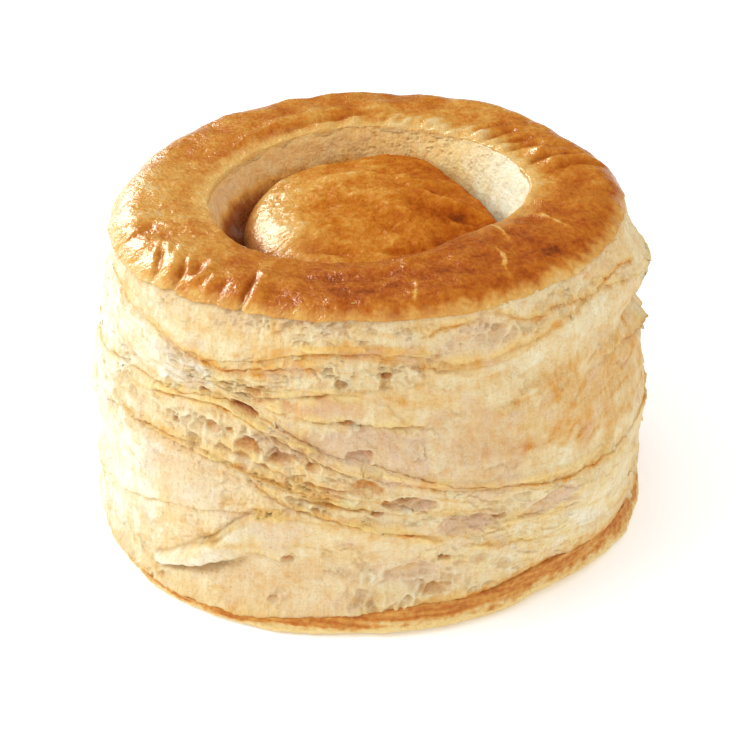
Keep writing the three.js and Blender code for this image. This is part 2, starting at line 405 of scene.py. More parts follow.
# Thin leaves whose edges show between the seams, as (angle, height) along each edge
EDGES = each(Edge, [
    ([(-160, 41), (-154, 39.8), (-147, 38.6), (-138, 37.8), (-131, 37), (-123, 36.5), (-117, 36.6),
     (-107, 38), (-99, 38.6)], "down", 0.35, 1.6, 0.4, 0.5, 0.2),
    ([(-90, 25.2), (-85, 23.9), (-80, 23), (-74, 22.4), (-64, 20.6), (-52, 18.8), (-43, 18), (-34, 17)],
     "down", 0.1, 0.8, 0.3, 0.4, 0.1),
    ([(-106, 39.6), (-100, 40.7), (-89, 40.7), (-80, 40), (-72, 38.2), (-64, 38), (-56, 38.9),
     (-46, 39.9)], "down", 0.2, 1.2, 0.24, 0.6, 0.1),
    ([(-122, 34.8), (-114, 35), (-107, 35.5)], "down", 0.2, 1, 0.1, 0.2, 0.5),
    ([(-110, 33.2), (-105, 34.4), (-96, 35.1), (-88, 35.4)], "up", 0.3, 1.2, 0.1, 0.3, 0.2),
    ([(-110, 32.6), (-104, 32.1), (-94, 31.5), (-86, 31), (-78, 30.3)], "down", 0.45, 2.4, 0.15, 0.2, 0.5),
    ([(-79, 42), (-74, 43.3), (-65, 43.8)], "down", 0.25, 1, 0.3, 0.3, 0.2),
    ([(-67, 45), (-62, 44), (-58, 42.5), (-50, 41.5)], "down", 0.25, 1, 0.35, 0.3, 0.2),
    ([(-50, 42.3), (-38, 41.2), (-25, 42), (-15, 40.6)], "down", 0.35, 1.2, 0.4, 0.35, 0.3),
    ([(-34, 31), (-24, 30.4), (-12, 28.6), (2, 28)], "down", 0.7, 2.6, 0.25, 0.3, 0.4),
    ([(-142, 29.2), (-139, 28.6), (-134, 27.9)], "down", 0.25, 1, 0.2, 0.2, 0.7),
    ([(-113, 22), (-106, 19.6), (-97, 18.8), (-90, 17.4), (-80, 15.6)], "down", 0.35, 1.2, 0.3, 0.25, 0.6),
    ([(-103, 21), (-98, 20.6), (-94, 20.2), (-88, 19.6)], "down", 0.3, 0.8, 0.3, 0.2, 0.8),
    ([(-152, 24.8), (-143, 23.7), (-130, 24.7), (-119, 24.2), (-112, 23), (-104, 21.9), (-94, 21.1)],
     "down", 0.35, 1.2, 0.3, 0.35, 0.5),
    ([(-125, 9.8), (-121, 11.8), (-116, 14.9), (-112, 17), (-104, 18.4)], "up", 0.75, 2, 0.1, 0.5, 0.25),
    ([(-113, 11.2), (-110, 11.6), (-107, 10.6), (-104, 10.8)], "down", 0.3, 2, 0, 0.3, 0.5),
    ([(-95, 18.6), (-88, 17.3), (-80, 15.2), (-73, 12.6), (-64, 11.6)], "up", 0.2, 0.8, 0.22, 0.35, 0.15),
    ([(-138, 28.7), (-130, 30.4), (-122, 31.1), (-115, 30.6), (-109, 28.7), (-101, 26.9), (-93, 25)],
     "up", 0.05, 0.6, 0.4, 0.25, 0.3),
    ([(-120, 26.2), (-110, 24.6), (-100, 23), (-92, 22.2)], "down", 0.2, 0.8, 0.3, 0.2, 0.5),
    ([(-113, 17.6), (-105, 18.2)], "down", 0.2, 0.8, 0.1, 0.2, 0.2),
    ([(-66, 11.4), (-60, 11.4), (-55, 10.5), (-46, 10.5)], "down", 0.25, 1, 0.3, 0.2, 0.3),
])

# Curled lips, each with its half thickness at both ends
ROLLS = each(Roll, [
    ([(-135, 4.6), (-131, 5.9), (-127, 7.3), (-122, 9), (-118, 10.6), (-114, 12.6), (-111, 13.6)],
     0.8, 2.6, 0.95, -0.2, 0.8, 0.1),
    ([(-140, 29.2), (-130, 31), (-125, 31.6), (-120, 31.9), (-115, 31.2), (-112, 30.3), (-109, 29.2),
     (-105, 28.1), (-101, 27.3), (-96, 25.8), (-90, 24.8)], 0.5, 0.75, 0.9, 0.04, 0.4, 0.65),
    ([(-152, 24.4), (-143, 23.4), (-130, 24.2), (-119, 23.7), (-112, 22.5)],
     0.3, 0.5, 0.5, 0.05, 0.4, 0.35),
    ([(-103, 40.8), (-96, 41.2), (-88, 41.1), (-78, 40.7)], 0.4, 0.5, 0.6, 0.26, 0.1),
    ([(-124, 24), (-116, 23.4), (-108, 22), (-100, 21.4), (-92, 20.6)], 0.3, 0.5, 0.5, 0.05, 0.2),
    ([(-118, 22.4), (-110, 20.4), (-102, 19.2), (-92, 18.2)], 0.3, 0.4, 0.5, 0.05, 0.2),
    ([(-134, 33.9), (-128, 34.4), (-118, 34.1), (-108, 34.4), (-100, 35.4), (-90, 35.8)],
     0.4, 0.5, 0.7, 0.05, 0.2),
    ([(-88, 24.4), (-80, 23.4), (-70, 22), (-60, 20.6), (-48, 19.6), (-34, 18.4)],
     0.6, 0.4, 0.5, 0.08, 0.1),
    ([(-75, 14.9), (-66, 14.7), (-58, 14.4), (-46, 14.2)], 0.5, 0.4, 0.5, 0.06, 0.2),
])

# Broken bubbles and pockets
HOLLOWS = each(Hollow, [
    (-121, 28.1, 1.4, 0.9, 10, 0.8, 0.3, 0.4), (-117, 28.2, 0.7, 0.4, 10, 0.5, 0.3, 0.5),
    (-113, 26.6, 2, 1.4, -20, 0.9, 0.35, 0.45), (-106, 25.7, 1.9, 1.1, 10, 0.7, 0.3, 0.4),
    (-100, 25, 1.1, 0.7, 0, 0.6, 0.25, 0.4), (-90, 22.8, 2.4, 1.2, -8, 0.8, 0.35, 0.4),
    (-130, 27, 0.7, 0.5, 0, 0.6, 0.3, 0.5), (-123, 32.3, 1.2, 0.5, -15, 0.7, 0.4, 0.6),
    (-114, 31.7, 2.2, 0.8, -22, 0.9, 0.45, 0.5), (-91, 26.9, 1.9, 1, 0, 0.7, 0.45, 0.3),
    (-86, 37.6, 0.8, 0.6, 0, 0.7, 0.5, 0.5), (-82, 20.4, 3.4, 1, -5, 0.7, 0.25, 0.3),
    (-71, 16.1, 5, 1.6, -6, 0.6, 0.08, 0.12), (-53, 16, 4.4, 1.4, 10, 0.4, 0.1, 0.06),
    (-88, 19.3, 0.9, 0.4, 0, 0.5, 0.4, 0.7), (-64, 16.3, 1, 0.5, 0, 0.5, 0.4, 0.7),
    (-75, 11.2, 0.9, 0.4, 0, 0.5, 0.4, 0.7), (-82, 9.3, 3.2, 1.2, 0, 0.4, 0.15, 0.15),
    (-77, 6.4, 2.4, 1, 0, 0.4, 0.15, 0.1), (-105, 11.1, 0.8, 0.5, 0, 0.5, 0.3, 0.5),
    (-94, 31.6, 1.4, 0.3, 0, 0.5, 0.5, 0.6), (-108, 4.5, 0.9, 0.6, 0, 0.4, 0.1, 0.4),
    (-95, 36.5, 0.9, 0.7, 0, 0.6, 0.2, 0.5), (-112, 34.4, 1.4, 0.4, -8, 0.5, 0.3, 0.5),
])

# Patches of the side's skin, each with its strength as out
ZONES = {
    "crumb": each(Swell, [
        (-100, 42.8, 22, 1.5, 0.9), (-130, 42, 9, 1.5, 0.7), (-68, 41.6, 10, 2, 0.7),
        (-44, 42, 12, 2.4, 0.6), (-91, 37.4, 12, 2, 1), (-118, 34, 12, 1, 0.7), (-118, 27, 16, 2.2, 0.7),
        (-104, 23, 12, 1.8, 0.8), (-96, 20, 9, 1, 0.8), (-92, 7.5, 5, 4, 0.7), (-80, 18, 12, 0.8, 0.6),
        (-107, 5, 3, 1.2, 0.6), (-139, 3.4, 7, 3, 0.7),
    ]),
    "bubbly": each(Swell, [
        (-117, 26.8, 16, 2.6, 0.9), (-104, 24.2, 12, 2, 0.9), (-122, 34.6, 14, 1.4, 0.7),
        (-62, 41.4, 9, 1.3, 0.7), (-103, 19.6, 8, 1, 0.7), (-74, 7.8, 14, 2.8, 0.9), (-87, 6.2, 8, 3, 0.7),
        (-50, 43, 8, 1, 0.5), (-134, 33, 6, 2.6, 0.6), (-84, 20.4, 7, 1.1, 0.7), (-150, 26, 8, 5, 0.6),
        (-60, 17.4, 14, 1.2, 0.6),
    ]),
    "films": each(Swell, [
        (-94, 28, 15, 2.6, 0.9), (-128, 35, 8, 2.4, 0.9), (-86, 6.4, 10, 4, 1), (-116, 20, 12, 4, 0.6),
        (-70, 8, 12, 3, 0.7), (-60, 28, 16, 5, 0.45), (-64, 15.8, 12, 1.8, 0.7), (-88, 37.6, 12, 1.6, 0.8),
        (-30, 28, 12, 6, 0.4),
    ]),
    "blush": each(Swell, [
        (-96, 28, 15, 2.8, 0.8), (-84, 26.6, 6, 3.6, 0.9), (-70, 26, 12, 6, 0.45), (-82, 20.3, 5, 1, 0.8),
        (-71, 16, 8, 1.6, 0.7), (-53, 16, 7, 1.6, 0.6), (-78, 9, 9, 1.8, 0.5), (-126, 19, 14, 6, 0.35),
        (-130, 35, 8, 2.4, 0.5), (-68, 41, 8, 2, 0.6), (-107, 15.4, 5, 1.6, 0.5), (-107, 7, 16, 5, 0.3),
        (-100, 33.3, 9, 1.1, 0.6),
    ]),
    "toasted": each(Swell, [
        (-60, 27.5, 13, 4, 0.16), (-36, 27, 14, 7, 0.16), (-40, 33, 14, 3, 0.1), (-20, 27, 12, 7, 0.14),
        (-100, 33.3, 9, 1.1, 0.28), (-107, 7, 16, 6, 0.05), (-112, 40, 24, 4.6, 0.05),
        (-112, 22, 22, 12, 0.03), (-92, 34, 16, 5, 0.08), (-68, 29.4, 4, 1.4, 0.16), (-49, 29, 5, 2, 0.16),
        (-76, 33, 10, 2.4, 0.1),
    ]),
    "smooth": each(Swell, [
        (-108, 40.4, 16, 1.8, 0.8), (-100, 33.3, 10, 1.3, 0.9), (-45, 37, 14, 2.6, 0.8),
        (-107, 6, 14, 4, 0.8), (-35, 9, 16, 4, 0.7), (-150, 14, 18, 7, 0.7), (-112, 14.6, 9, 2, 0.9),
    ]),
    # The two large pale patches at the far left, at -168 and -152, are painted light where the lamps at the
    # left fall; the other pale patches are the pastry's own paler colour.
    "pale": each(Swell, [
        (-152, 14, 18, 9, 1), (-140, 36, 14, 5, 0.8), (-113, 14.6, 9, 2, 0.6), (-124, 17, 8, 3, 0.6),
        (-46, 37.4, 14, 2.6, 0.4), (-128, 34, 9, 2.4, 0.9), (-168, 22, 18, 28, 1),
        (-92, 36.6, 12, 1.6, 0.3), (-40, 10, 14, 3, 0.5),
    ]),
}


def leaf_flow(angle, height):
    """A height that is the same all along a seam, so that what follows it runs along the leaves."""
    seams = [seam_height(index, angle) for index in range(len(SEAMS))]
    flow = SEAMS[0].height + height - seams[0]
    for (low, below), (high, above) in zip(zip(SEAMS, seams), zip(SEAMS[1:], seams[1:])):
        share = np.clip((height - below) / (above - below), 0, 1)
        flow = np.where(height > below, low.height + share * (high.height - low.height), flow)
    return np.where(height > seams[-1], SEAMS[-1].height + height - seams[-1], flow)


def side_skin(angle, height):
    """The skin of the flaky side."""
    skin = Skin(angle * PER_DEGREE, height, leaf_flow(angle, height))
    behind = rise(0.1, -0.3, -np.sin(np.radians(angle)))
    torn = skin.noises((0.5, 4, 3, 40), (0.25, 1.6, 1.2, 41), (0.1, 0.6, 0.5, 42))
    zone = {name: skin.zones(patches, torn) for name, patches in ZONES.items()}
    behind_zones = {"crumb": 0.9, "blush": 0.7, "toasted": 0.25, "smooth": 0.7, "bubbly": 0.9, "films": 0.6}
    for seed, (name, strength) in enumerate(behind_zones.items()):
        drawn = rise(0.12, 0.4, skin.leafy(11, 3, 1 + seed) + 0.3 * torn)
        zone[name] = np.maximum(zone[name], behind * strength * drawn)
    rough = 1 - 0.75 * zone["smooth"]

    skin.out += 0.28 * skin.noise(9, 6, 5) + 0.17 * rough * skin.noise(3.4, 2.6, 6)
    skin.out += 0.07 * rough * skin.leafy(8, 1.1, 7) + 0.06 * rough * skin.noise(1.5, 1.1, 8)
    skin.out += skin.noises((0.07, 1.1, 4.5, 9), (0.03, 0.55, 2, 10))
    skin.out += 0.05 * rough * skin.noise(0.7, 0.6, 11)

    shown = rough * rise(-0.3, 0.3, skin.noise(7, 5, 26))
    wide_field = skin.leafy(12, 4.4, 12) + skin.noises((0.35, 2.6, 2, 13), (0.14, 0.8, 0.7, 14))
    skin.sheets(wide_field, 1.7, 0.34, shown)
    small_field = skin.noise(4.5, 3.6, 15) + 0.35 * skin.noise(1.2, 1, 16)
    skin.sheets(small_field, 1.4, 0.16, 0.8 * rough * rise(-0.1, 0.5, skin.noise(9, 7, 17)))

    crumb = zone["crumb"] * rise(-0.45, 0.15, skin.noise(3.5, 2.4, 27))
    skin.crumb(crumb, 1.15, 0.75, 0.22, 5)
    skin.crumb(zone["bubbly"], 2.6, 1.7, 0.34, 31)
    skin.films(zone["films"], 2.2, 4.6, 33)

    skin.blush += zone["blush"] * mix(0.6, 1, rise(-0.3, 0.4, skin.noise(1.4, 3.4, 28)))
    skin.out -= 0.14 * zone["blush"]
    sunny = rise(-95, -60, angle) * rise(20, -10, angle) * rise(24, 14, height)
    # Paler in the pale patches: at the far left this is painted light.
    skin.bake += 0.2 - 0.17 * zone["pale"] - 0.06 * sunny
    skin.butter += 0.35 * sunny * rise(-0.3, 0.4, skin.noise(5, 3, 39)) * (1 - zone["blush"])
    skin.bake += zone["toasted"] * (0.8 + skin.noises((0.5, 3, 2.4, 20), (0.2, 0.9, 0.9, 25)))
    skin.bake += 0.06 * skin.noise(6, 4, 21) + 0.04 * skin.leafy(6, 1.2, 22) + 0.05 * skin.noise(0.7, 3.5, 24)
    skin.bake += 0.08 * rise(0.3, 0.7, skin.leafy(8, 0.9, 23)) * (1 - zone["blush"]) * rough
    skin.bake += 0.1 * rise(0.1, 0.6, skin.noise(2.2, 1.7, 29)) * rise(-0.2, 0.3, skin.noise(9, 8, 30))

    for edge in EDGES + BACK_EDGES:
        skin.edge(edge)
    for roll in ROLLS:
        skin.roll(roll)
    for hollow in HOLLOWS + BACK_HOLLOWS:
        skin.hollow(hollow)
    return skin


def drawn_edges(count):
    """Leaf edges like those of the front, drawn for the back, along the run of the seams there."""
    drawn = []
    for _ in range(count):
        start, length, level = DRAW.uniform(-8, 150), DRAW.uniform(18, 48), DRAW.uniform(0.03, 0.97)
        angles = np.linspace(start, start + length, 6)
        low, high = (seam_height(index, angles) for index in (FOOT, RIM))
        slope = DRAW.uniform(-2, 2) * (angles - start) / length
        heights = mix(low + 1, high - 1, level) + slope + DRAW.uniform(-0.5, 0.5, 6)
        out, tone, shade = DRAW.uniform(0.2, 0.5), DRAW.uniform(0.15, 0.4), DRAW.uniform(0.2, 0.6)
        free, reach, width = DRAW.choice(["down", "up"]), DRAW.uniform(0.8, 2.2), DRAW.uniform(0.2, 0.4)
        drawn.append(Edge(list(zip(angles, heights)), free, out, reach, tone, width, shade))
    return drawn


def drawn_hollows(count):
    """Broken bubbles like those of the front, drawn for the back."""
    drawn = []
    for _ in range(count):
        angle, height = DRAW.uniform(-5, 205), DRAW.uniform(6, 40)
        wide = 0.6 + 2.6 * DRAW.random() ** 2
        high = wide * DRAW.uniform(0.35, 0.7)
        drawn.append(Hollow(angle, height, wide, high, DRAW.uniform(-20, 20), 0.3 + 0.5 * high,
                            DRAW.uniform(0.15, 0.4), DRAW.uniform(0.2, 0.6)))
    return drawn


BACK_EDGES = drawn_edges(26)
BACK_HOLLOWS = drawn_hollows(44)


# Mesh helpers


def grid_places(mesh):
    """The places across and along of a new grid's points, both from -1 to 1."""
    spots = np.zeros(len(mesh.vertices) * 3)
    mesh.vertices.foreach_get("co", spots)
    return spots.reshape(-1, 3)[:, :2].T


def place_points(mesh, radius, turned, height, skin):
    """Moves the mesh's points round the axis, and stores their finishes for the material to read."""
    placed = np.stack([radius * np.cos(turned), radius * np.sin(turned), height], axis=-1) * MM
    mesh.vertices.foreach_set("co", placed.ravel())
    for finish in FINISHES:
        values = mesh.attributes.new(finish, "FLOAT", "POINT")
        values.data.foreach_set("value", np.clip(getattr(skin, finish), 0, 1.2).ravel().astype(np.float32))
    flow = mesh.attributes.new("flow", "FLOAT", "POINT")
    flow.data.foreach_set("value", (skin.flow * MM).ravel().astype(np.float32))


def finished_piece(name, mesh, material):
    """Makes the mesh a smooth piece of the case, which rides on its body."""
    mesh.shade_smooth()
    mesh.materials.append(material)
    piece = bpy.data.objects.new(name, mesh)
    bpy.context.scene.collection.objects.link(piece)
    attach(piece, "root")
    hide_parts("pastry_case")
    return piece


def shaped_piece(name, columns, rows, shape, material, closed=True):
    """A piece made from a flat grid: shape(angle, row) moves each of its points to a radius and a height
    in millimetres, all round the axis, and gives its skin. A closed one is a ring, whose last row is its
    first; the rows of any other start and end on the axis."""
    grid = bmesh.new()
    bmesh.ops.create_grid(grid, x_segments=columns, y_segments=rows, size=1)
    mesh = bpy.data.meshes.new(name)
    grid.to_mesh(mesh)
    column, row = np.rint((grid_places(mesh) + 1) / 2 * [[columns], [rows]]).astype(int)
    turned = TURN * (column % columns) / columns
    turned = turned - FRONT_CROWDING * np.sin(turned + math.pi / 2)
    radius, height, skin = shape((np.degrees(turned) + 180) % 360 - 180, row % rows if closed else row)
    place_points(mesh, radius, turned, height, skin)
    grid.clear()
    grid.from_mesh(mesh)
    border = [vertex for vertex in grid.verts if vertex.is_boundary]
    bmesh.ops.remove_doubles(grid, verts=border, dist=1e-7)
    bmesh.ops.recalc_face_normals(grid, faces=grid.faces)
    grid.to_mesh(mesh)
    grid.free()
    finished_piece(name, mesh, material)


def with_ends(row, radius, height, ends):
    """Puts some rows at places of their own: ends gives (radius, height) for a row's number."""
    for at, (end_radius, end_height) in ends.items():
        radius = np.where(row == at, end_radius, radius)
        height = np.where(row == at, end_height, height)
    return radius, height


# Shapes of the pieces


def end_rows(index, top):
    """Cross-section of a leaf's end at a seam, and whether its edge is free there."""
    if index == RIM:
        return GLAZED_END, False
    free = (SEAMS[index].free == "up") == top
    return (FREE_END if free else TUCKED_END), free


def browned(angle):
    """How browned the ends of the leaves are: least at the left, which is painted light, the lines fading
    where the lamps at the left fall.
    """
    return 1 - 0.7 * bell(turn_between(angle, -166) / 20)


def leaf_shape(band, rows):
    """The shape of the leaf between seam band and the next one up, for a grid with that many face rows."""
    bottom, bottom_free = end_rows(band, top=False)
    top, top_free = end_rows(band + 1, top=True)
    sections = [(inwards, -past, 0.0) for inwards, past in bottom]
    sections += [(0.0, 0.0, share) for share in np.linspace(0, 1, rows)]
    sections += [(inwards, past, 1.0) for inwards, past in reversed(top)]
    inwards, past, share = np.array(sections).T
    lip = bpy.context.scene.case_sizes.leaf_lip / MM

    def shape(angle, row):
        low, high = seam_height(band, angle), seam_height(band + 1, angle)
        girth = (angle * PER_DEGREE).astype(np.float32)
        low = low + 0.22 * girth_noise(girth, 2.2, 20 + band) + 0.12 * girth_noise(girth, 0.7, 30)
        high = high + 0.22 * girth_noise(girth, 2.2, 21 + band) + 0.12 * girth_noise(girth, 0.7, 31)
        if band + 1 == RIM:
            high = rim_edge(angle) + 0.1
        height = mix(low, high, share[row])
        skin = side_skin(angle, height)
        for seam, end, free in ((band, height - low, bottom_free), (band + 1, high - height, top_free)):
            strength = mix(0.45, 1.15, rise(-0.5, 0.5, girth_noise(girth, 7, 60 + seam)))
            if free:
                skin.out += strength * lip * np.exp(-end / 0.8)
                skin.bake += 0.16 * strength * browned(angle) * np.exp(-end / 0.3)
                skin.butter += 0.4 * strength * np.exp(-end / 0.7) * rise(-0.5, 0.4, skin.noise(6, 2, 47))
            elif seam == RIM:
                skin.out -= mix(0.4, 0.2, glaze_fading(angle)) * np.exp(-end / 0.6)
                # Painted shadow under the glazed crust's edge, less where the glaze fades out.
                skin.pore += 0.5 * np.exp(-end / 0.5) * (1 - glaze_fading(angle))
            else:
                skin.out -= strength * 0.12 * np.exp(-end / 0.5)
                skin.bake += 0.16 * strength * browned(angle) * np.exp(-end / 0.6)
                skin.butter += 0.2 * strength * np.exp(-end / 0.6)
                # Painted shade in the seam where the leaf tucks in.
                skin.crease += 0.08 * strength * browned(angle) * np.exp(-end / 0.3)
        if band == 0:
            blended = rise(-92, -70, angle) * rise(60, 30, angle)
            skin.out -= 0.35 * blended * np.exp(-(height - low) / 0.8)
            skin.bake += 0.34 * blended * np.exp(-(height - low) / 0.9) * (1 + 0.9 * skin.noise(1.2, 0.8, 48))
        radius = side_radius(angle, height) + skin.out - inwards[row]
        return radius, np.maximum(height + past[row], 0.3), skin

    return shape, len(sections)


# Small torn flakes, fixed to the side along their root and curling away from it: angle and height of the
# root's middle, half width, length, how far the tip stands out, how far the flake is turned from hanging
# straight down (degrees), and how much more baked its tip is
Flake = namedtuple("Flake", "angle height wide long out turned tone")
FLAKE_GRID = (8, 6)
FLAKES = each(Flake, [
    (-10, 41.4, 2.2, 2.4, 0.9, 65, 0.1), (-9, 39.8, 1.8, 2.2, 1, 40, 0.2),
    (-11, 38.6, 2.4, 2, 0.7, 20, 0.1), (-9, 29.6, 2.2, 2.2, 1, 30, 0.15), (-12, 6.6, 2, 1.8, 0.6, 20, 0.2),
    (-20, 5.2, 1.6, 1.4, 0.5, 0, 0.25), (-6, 12.6, 1.8, 1.6, 0.7, 30, 0.2),
    (-170, 30, 1.6, 1.8, 0.7, -20, 0.1), (-168, 20.6, 2, 2, 0.7, -20, 0.05),
    (-160, 12, 1.6, 1.6, 0.6, -15, 0.1), (-150, 6, 1.8, 1.5, 0.6, -10, 0.1),
    (-8, 35.4, 2, 1.8, 0.9, 30, 0.15), (-4, 32.6, 2.2, 2, 1, 50, 0.1), (-14, 36.6, 1.8, 1.8, 0.7, 20, 0.2),
    (-99, 31.9, 1.2, 0.9, 0.5, 0, 0.1), (-92, 31.6, 0.9, 1.2, 0.5, 10, 0.1),
    (-84, 30.9, 1.2, 1, 0.5, 0, 0.1), (-81, 27.6, 1.3, 1.6, 0.5, 60, 0.05),
    (-124, 35.6, 1.4, 1.2, 0.5, 0, 0),
])


def drawn_flakes(count):
    """Flakes along the seams and the thin leaves' edges, all round."""
    drawn = []
    for number in range(count):
        angle, wide = DRAW.uniform(-180, 180), 0.5 + 1.2 * DRAW.random() ** 2
        if number % 3:
            height = seam_height(1 + number % (RIM - 1), angle) + DRAW.uniform(0, 0.5)
        else:
            height = mix(seam_height(FOOT, angle) + 1.5, seam_height(RIM, angle) - 1, DRAW.random())
        smooth = abs(turn_between(angle, -128)) < 36 and height < 20
        off_seams_in_front = number % 3 == 0 and abs(turn_between(angle, -80)) < 95
        if smooth or off_seams_in_front:
            continue
        drawn.append(Flake(angle, height, wide, wide * DRAW.uniform(0.7, 1.3), DRAW.uniform(0.1, 0.5),
                           DRAW.uniform(-50, 50), DRAW.uniform(-0.05, 0.2)))
    return drawn


def flake_shape(flakes, across, along):
    """Where the points of all the flakes go: across is from -1 to 1, along from 0 at the root to 1."""
    angle, height, wide, long, out, turned, tone = flakes.T[:, :, None]
    number = 3.7 * np.arange(len(flakes))[:, None] + 0 * across
    torn = noise((number + across).astype(np.float32), along.astype(np.float32), 0.9, 0.9, 110)
    reach = long * along * (1 + 0.5 * torn) * (1 - 0.3 * across ** 2)
    spread = wide * across * (1 - 0.45 * along ** 2) * (1 + 0.3 * torn)
    lean = np.radians(turned)
    girth = spread * np.cos(lean) + reach * np.sin(lean)
    up = spread * np.sin(lean) - reach * np.cos(lean)
    angle, height = angle + girth / PER_DEGREE, np.clip(height + up, 0.6, 46)
    skin = side_skin(angle, height)
    skin.bake += tone * rise(0.4, 1, along) - 0.04
    radius = side_radius(angle, height) + skin.out - 0.2 + (0.2 + out) * along ** 1.4
    radius = radius - 0.5 * out * rise(0.75, 1, along)
    return radius, angle, height, skin


WELL_SWELLS = each(Swell, [
    (-50, 0, 20, 1, -2), (0, 0, 14, 1, 1.1), (-150, 0, 34, 1, 0.9), (48, 0, 22, 1, -0.5),
    (120, 0, 30, 1, -1), (-95, 0, 24, 1, -0.7),
])
WELL_RADIUS = 21.4
MOAT_HEIGHT = 38.2  # height of the gap round the dome
CREST_HEIGHT = 46.4
RIM_CREST_AT = 0.36  # how far in the crest is, as a share of the way from the outer edge to the well
RIM_WIDTH = 13.4
RIM_ROUNDING = 2.4  # power of its rounded section
EDGE_BELOW_CREST, LIP_BELOW_CREST = 2.6, 0.7
RIM_COLUMNS, RIM_ROWS = 900, 88  # points round the crust, and from its outer edge to the lip of the well
RIM_UNDER = 3  # rows under its outer edge
RIM_TURN_DOWN = 8  # rows past the lip
RIM_HIDDEN = 2  # rows behind the wall of the well
LIP_DROP = 0.9  # how far those rows go down

# How baked the glaze is round the rim, as (angle, bake): darkest at the front. The paler left is partly the
# glaze's own lighter bake and partly painted light from the lamps at the left.
RIM_BAKE = [(-180, 0.48), (-150, 0.53), (-128, 0.67), (-105, 0.77), (-60, 0.81), (-25, 0.8), (5, 0.69),
            (40, 0.62), (80, 0.6), (120, 0.63), (150, 0.61), (180, 0.48)]

# Folds and ridges of the glaze, each along a path of (angle, radius); a fold has a depth below 0
Pleat = namedtuple("Pleat", "path width depth")
PLEATS = each(Pleat, [
    ([(-148.6, 31.4), (-145.5, 32.2), (-141.9, 33.9), (-140, 36)], 0.5, -0.7),
    ([(-145, 33.6), (-149.7, 31.6), (-150.4, 30.8), (-148.2, 30.3), (-144.8, 31.2), (-140.4, 33.1)],
     0.5, 0.26),
    ([(-147.6, 28), (-141, 31.2), (-136.2, 35.4)], 0.9, 0.45),
    ([(-138.9, 30.5), (-136.5, 32.2), (-135.2, 33.4), (-133.8, 36)], 0.44, -0.7),
    ([(-136, 28), (-138.2, 29.8), (-136.7, 31.5), (-135.9, 32.6)], 0.5, 0.25),
    ([(-135.6, 29.6), (-133.4, 31.2), (-131.4, 32.8)], 0.6, -0.4),
    ([(-135.4, 27.4), (-131.9, 29.3), (-130.9, 31.6), (-131, 35)], 0.9, 0.45),
    ([(-129, 30), (-127.4, 31.6), (-126.6, 34.6)], 0.9, 0.3),
    ([(-125, 30.6), (-123.6, 32.4), (-122.6, 35.6)], 0.5, -0.25),
    ([(-121.8, 26.6), (-118.9, 28.6), (-118.7, 30.4), (-117.4, 32.6), (-116.8, 36)], 0.5, -0.75),
    ([(-120.6, 25.6), (-117, 28.6), (-115.4, 31), (-113.6, 35)], 1.3, 0.55),
    ([(-162, 29), (-158, 32), (-157, 35)], 0.6, -0.3), ([(-168, 28), (-165, 31), (-163, 34)], 0.9, 0.3),
    ([(13, 22.6), (16.6, 24.8), (15.4, 27.4), (14.2, 31.5)], 0.5, -0.8),
    ([(6.6, 25.5), (9.8, 29), (9, 34)], 0.6, -0.4), ([(11, 24), (12.5, 27.5), (11.6, 33)], 1.1, 0.5),
    ([(41, 21.4), (40.6, 24), (38, 27.4)], 0.6, -0.5), ([(33.6, 21.4), (33.4, 24), (30.6, 28)], 0.6, -0.45),
    ([(27, 21.6), (27.6, 24), (25, 28.4)], 0.6, -0.45), ([(47, 22), (46, 25), (44, 29)], 0.7, -0.35),
    ([(130, 22), (112, 23), (95, 24.4), (80, 26.4)], 0.7, -0.5),
    ([(150, 24), (135, 24.4), (118, 25.4), (98, 26.6)], 0.9, 0.4),
    ([(-100, 23.6), (-85, 23.4), (-70, 22.4), (-58, 21.6)], 0.9, 0.35),
    ([(-118, 25), (-104, 26.2), (-90, 26.4), (-74, 25.4)], 0.9, -0.3),
])

RIM_FOLDS = (-140, -134, -117)  # where deep folds reach the crust's outer edge

# Blisters and pale bumps of the glaze: angle, radius, half length inwards, half width, how far out, how
# much paler
Bump = namedtuple("Bump", "angle radius long wide out pale")
BUMPS = each(Bump, [
    (20, 26, 1.1, 1.1, 0.8, 0.08), (44, 22.6, 1.8, 0.9, 0.5, 0.2), (37, 22.4, 1.7, 0.9, 0.5, 0.18),
    (30, 22.6, 1.6, 0.9, 0.45, 0.16), (24, 22.8, 1.4, 0.8, 0.4, 0.14), (50, 23, 1.6, 0.7, 0.35, 0.16),
])
BUMPS += [Bump(75 - 3.9 * step, 23 - 0.3 * step, 1.2, 0.55, 0.18, 0.12) for step in range(6)]

# Hairline cracks in the glaze, as (angle, radius) from the well outwards
CRACKS = [[(-35.5, 19.6), (-36.5, 21.3), (-38.2, 22.7), (-42.8, 25.6)],
          [(-48.4, 24.4), (-50, 26.8), (-51.5, 28.4), (-54, 29.6), (-56.4, 33)],
          [(-21, 23), (-22.6, 25.3), (-24.6, 27.2), (-27.7, 30.5)], [(-77, 27.6), (-78, 30), (-80, 33.6)]]


def well_radius(angle):
    """Radius of the lip of the well."""
    return WELL_RADIUS + swell_sum(WELL_SWELLS, angle, 0)


def crest_height(angle):
    """Height of the rim's crest."""
    return wave_sum(angle, CREST_HEIGHT, [(1, 0.9, 20), (4, 0.25, 22.5)])


def plan(angle, radius):
    """Places in plan, in millimetres."""
    return radius * np.cos(np.radians(angle)), radius * np.sin(np.radians(angle))


def rounded_path(path):
    """The path in plan, with a few points between each two of its own."""
    spots = np.array([plan(*spot) for spot in path])
    at = np.linspace(0, len(spots) - 1, 4 * len(spots))
    return list(zip(*(np.interp(at, range(len(spots)), side) for side in spots.T)))


def from_crest(share):
    """How far from the crest a share of the way in is: 0 at the crest, and 1 at the edge and at the well."""
    outside = 1 - share / RIM_CREST_AT
    return np.where(share < RIM_CREST_AT, outside, (share - RIM_CREST_AT) / (1 - RIM_CREST_AT))


